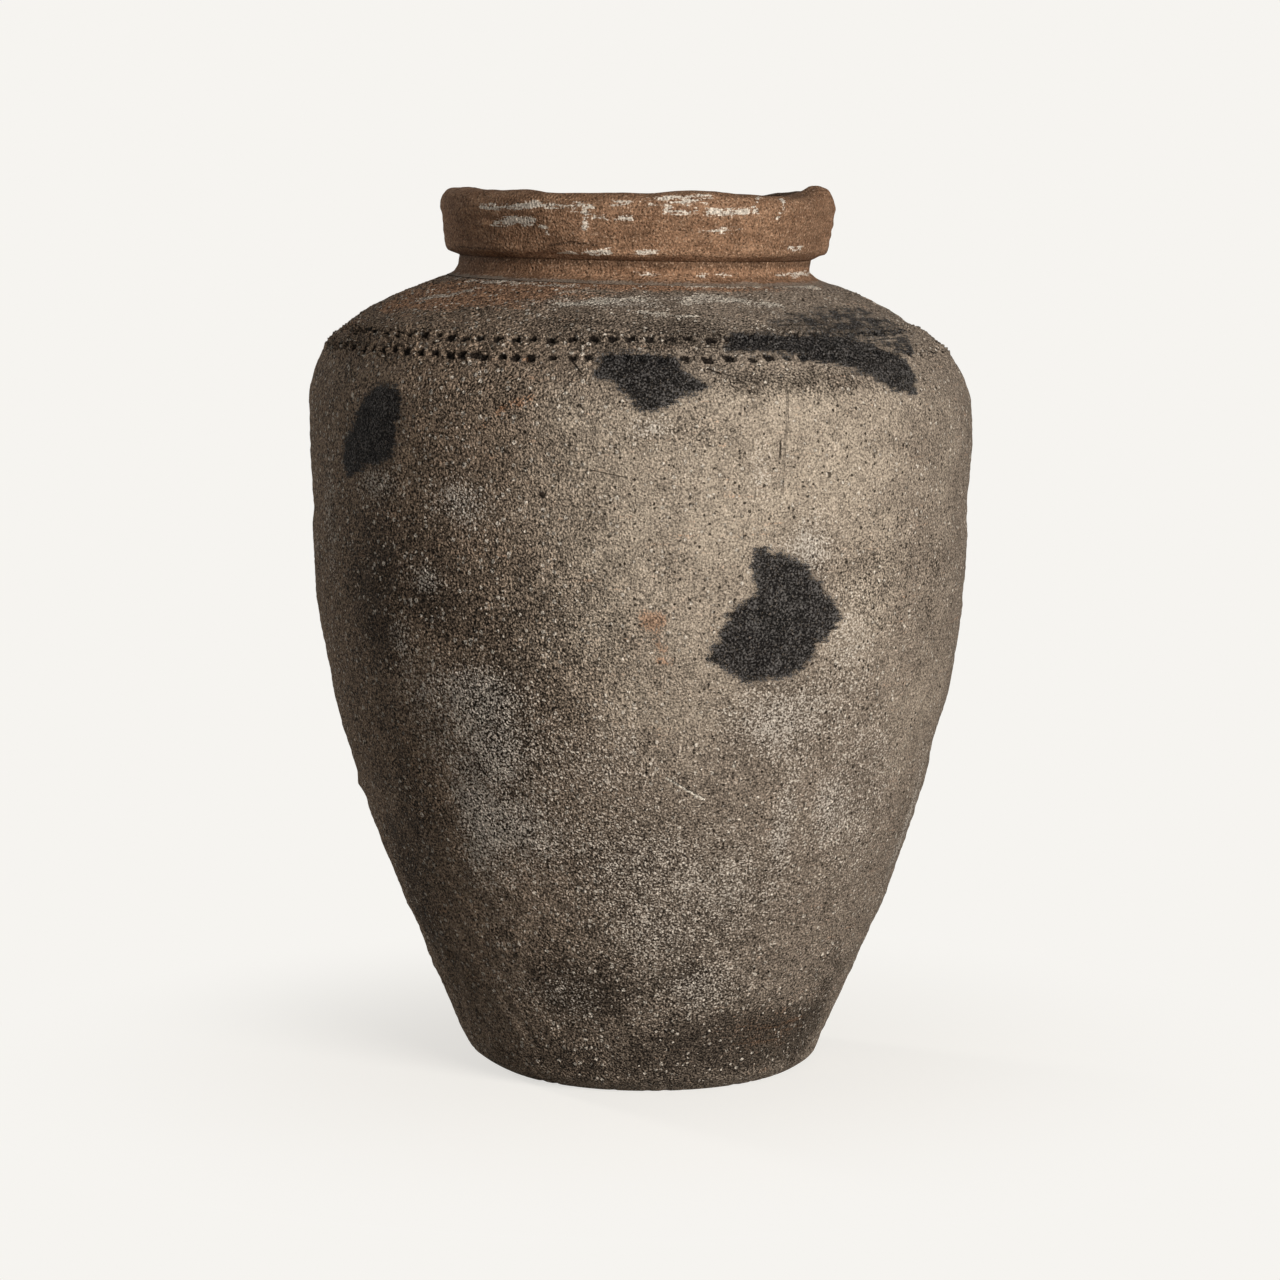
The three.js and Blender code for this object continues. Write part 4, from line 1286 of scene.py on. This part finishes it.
# Painted shade and soot on the lip's inner edge and down into the mouth.
mouth_soot_and_shade = eased(collar.run, (collar_crown + 7.0, collar_crown + 12.0), (0.0, 0.9))[:, None]
collar_stains = {
    "soot_and_shade": collar_soot + mouth_soot_and_shade,
    # Painted shade where the collar's underside meets the neck, with the dark chips.
    "shade_and_chips": np.maximum(0.4 * np.exp(-(collar.run / 2.5)**2)[:, None], collar_chips),
    "lime": strokes(collar_skin, angles, collar.run, COLLAR_LIME),
    "chalk": 0.15 * np.exp(-((collar.run - collar_crown) / 14.0)**2)[:, None],
    "grey": FAR,
}
rim_collar = clay_piece("rim_collar_clay", collar_points, grid_normals(collar_points, True), collar_stains,
                        (rim_clay, inside_clay), int(np.searchsorted(collar.run, collar_mouth)))
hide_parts("rim_collar")

# The floor and the backdrop
# A plain cream studio sweep. Near the jar the floor takes its soft shadow, and further off it fades
# into the same even cream as the backdrop.
CREAM = "#F6F4F0"
FLOOR_SIZE = 12.0
FLOOR_GRID = 49
SHADOW_NEAR = 0.1
SHADOW_FAR = 0.42
SHADOW_SHARE = 0.5
FLOOR_LIGHT = 0.58


def floor_grid():
    """A level square grid of points on the floor plane."""
    ticks = np.linspace(-FLOOR_SIZE / 2, FLOOR_SIZE / 2, FLOOR_GRID)
    x, y = np.meshgrid(ticks, ticks)
    index = np.arange(FLOOR_GRID**2).reshape(FLOOR_GRID, FLOOR_GRID)
    corners = (index[:-1, :-1], index[:-1, 1:], index[1:, 1:], index[1:, :-1])
    faces = np.stack(corners, axis=-1).reshape(-1, 4)
    points = np.stack([x, y, np.zeros_like(x)], axis=-1).reshape(-1, 3)
    mesh = bpy.data.meshes.new("studio_floor")
    mesh.from_pydata(points.tolist(), [], faces.tolist())
    return mesh


def seen_directly(tree):
    """1 for rays from the camera and those that gloss or glass send on, and 0 for light that bounces."""
    path = node(tree, "ShaderNodeLightPath").node.outputs
    seen = path["Is Camera Ray"]
    for ray in ("Is Glossy Ray", "Is Transmission Ray"):
        seen = node(tree, "ShaderNodeMath", {0: seen, 1: path[ray]}, operation="MAXIMUM")
    return seen


def painted_sweep():
    """Matt cream studio paint: even to the eye but for the jar's shadow, and greyer to bounced light.

    Near the jar a share of the cream comes from the lamps, so that it is lost where the jar keeps them off.
    """
    material = bpy.data.materials.new("painted_studio_sweep")
    material.use_nodes = True
    tree = material.node_tree
    tree.nodes.clear()
    place = node(tree, "ShaderNodeTexCoord", out="Object")
    distance = node(tree, "ShaderNodeVectorMath", {0: place}, "Value", operation="LENGTH")
    near = node(tree, "ShaderNodeMapRange", {0: distance, 1: SHADOW_NEAR, 2: SHADOW_FAR, 3: 1.0, 4: 0.0},
                interpolation_type="SMOOTHSTEP")
    glow = weighed(tree, ((near, -SHADOW_SHARE * FLOOR_LIGHT),), 1.0)
    share = weighed(tree, ((near, SHADOW_SHARE),))
    paint = layered(tree, "#000000", ((share, CREAM),))
    even = node(tree, "ShaderNodeEmission", {"Color": linear(CREAM), "Strength": glow})
    lit = node(tree, "ShaderNodeBsdfDiffuse", {"Color": paint})
    seen = node(tree, "ShaderNodeAddShader", {0: even, 1: lit})
    bounce = node(tree, "ShaderNodeBsdfDiffuse", {"Color": linear("#8F8C88")})
    sweep = node(tree, "ShaderNodeMixShader", {0: seen_directly(tree), 1: bounce, 2: seen})
    tree.links.new(sweep, tree.nodes.new("ShaderNodeOutputMaterial").inputs["Surface"])
    return material


studio_floor = bpy.data.objects.new("studio_floor", floor_grid())
studio_floor.data.materials.append(painted_sweep())
scene.collection.objects.link(studio_floor)

# The studio light
# One large soft lamp low on the right in front of the jar, a small weak one behind it on the left, and
# a dim even room. The left side falls into shade, and the lamps rake the sandy skin.
LAMP_DISTANCE = 3.0
LAMP_AIM = (0.0, 0.0, 0.28)
ROOM_LEVEL = 0.122


def disc_lamp(name, watts, size, rise, turn):
    """A round lamp that looks at the middle of the jar from a rise and a turn to the right, in degrees."""
    light = bpy.data.lights.new(name, "AREA")
    light.shape = "DISK"
    light.energy = watts
    light.size = size
    light.color = linear("#FFFBF5")[:3]
    lamp = bpy.data.objects.new(name, light)
    rise, turn = np.radians((rise, turn))
    towards = np.array([np.cos(rise) * np.sin(turn), -np.cos(rise) * np.cos(turn), np.sin(rise)])
    lamp.location = np.array(LAMP_AIM) + LAMP_DISTANCE * towards
    lamp.rotation_euler = (np.pi / 2 - rise, 0.0, turn)
    scene.collection.objects.link(lamp)


disc_lamp("key_lamp", watts=92.0, size=1.6, rise=13.0, turn=35.0)
disc_lamp("left_lamp", watts=25.0, size=0.4, rise=12.0, turn=-130.0)

room = bpy.data.worlds.new("studio_room")
scene.world = room
room.use_nodes = True
room.node_tree.nodes.clear()
dim = node(room.node_tree, "ShaderNodeBackground", {"Color": linear("#FFFFFF"), "Strength": ROOM_LEVEL})
cream = node(room.node_tree, "ShaderNodeBackground", {"Color": linear(CREAM), "Strength": 1.0})
both = node(room.node_tree, "ShaderNodeMixShader", {0: seen_directly(room.node_tree), 1: dim, 2: cream})
room.node_tree.links.new(both, room.node_tree.nodes.new("ShaderNodeOutputWorld").inputs["Surface"])
scene.view_settings.view_transform = "Standard"
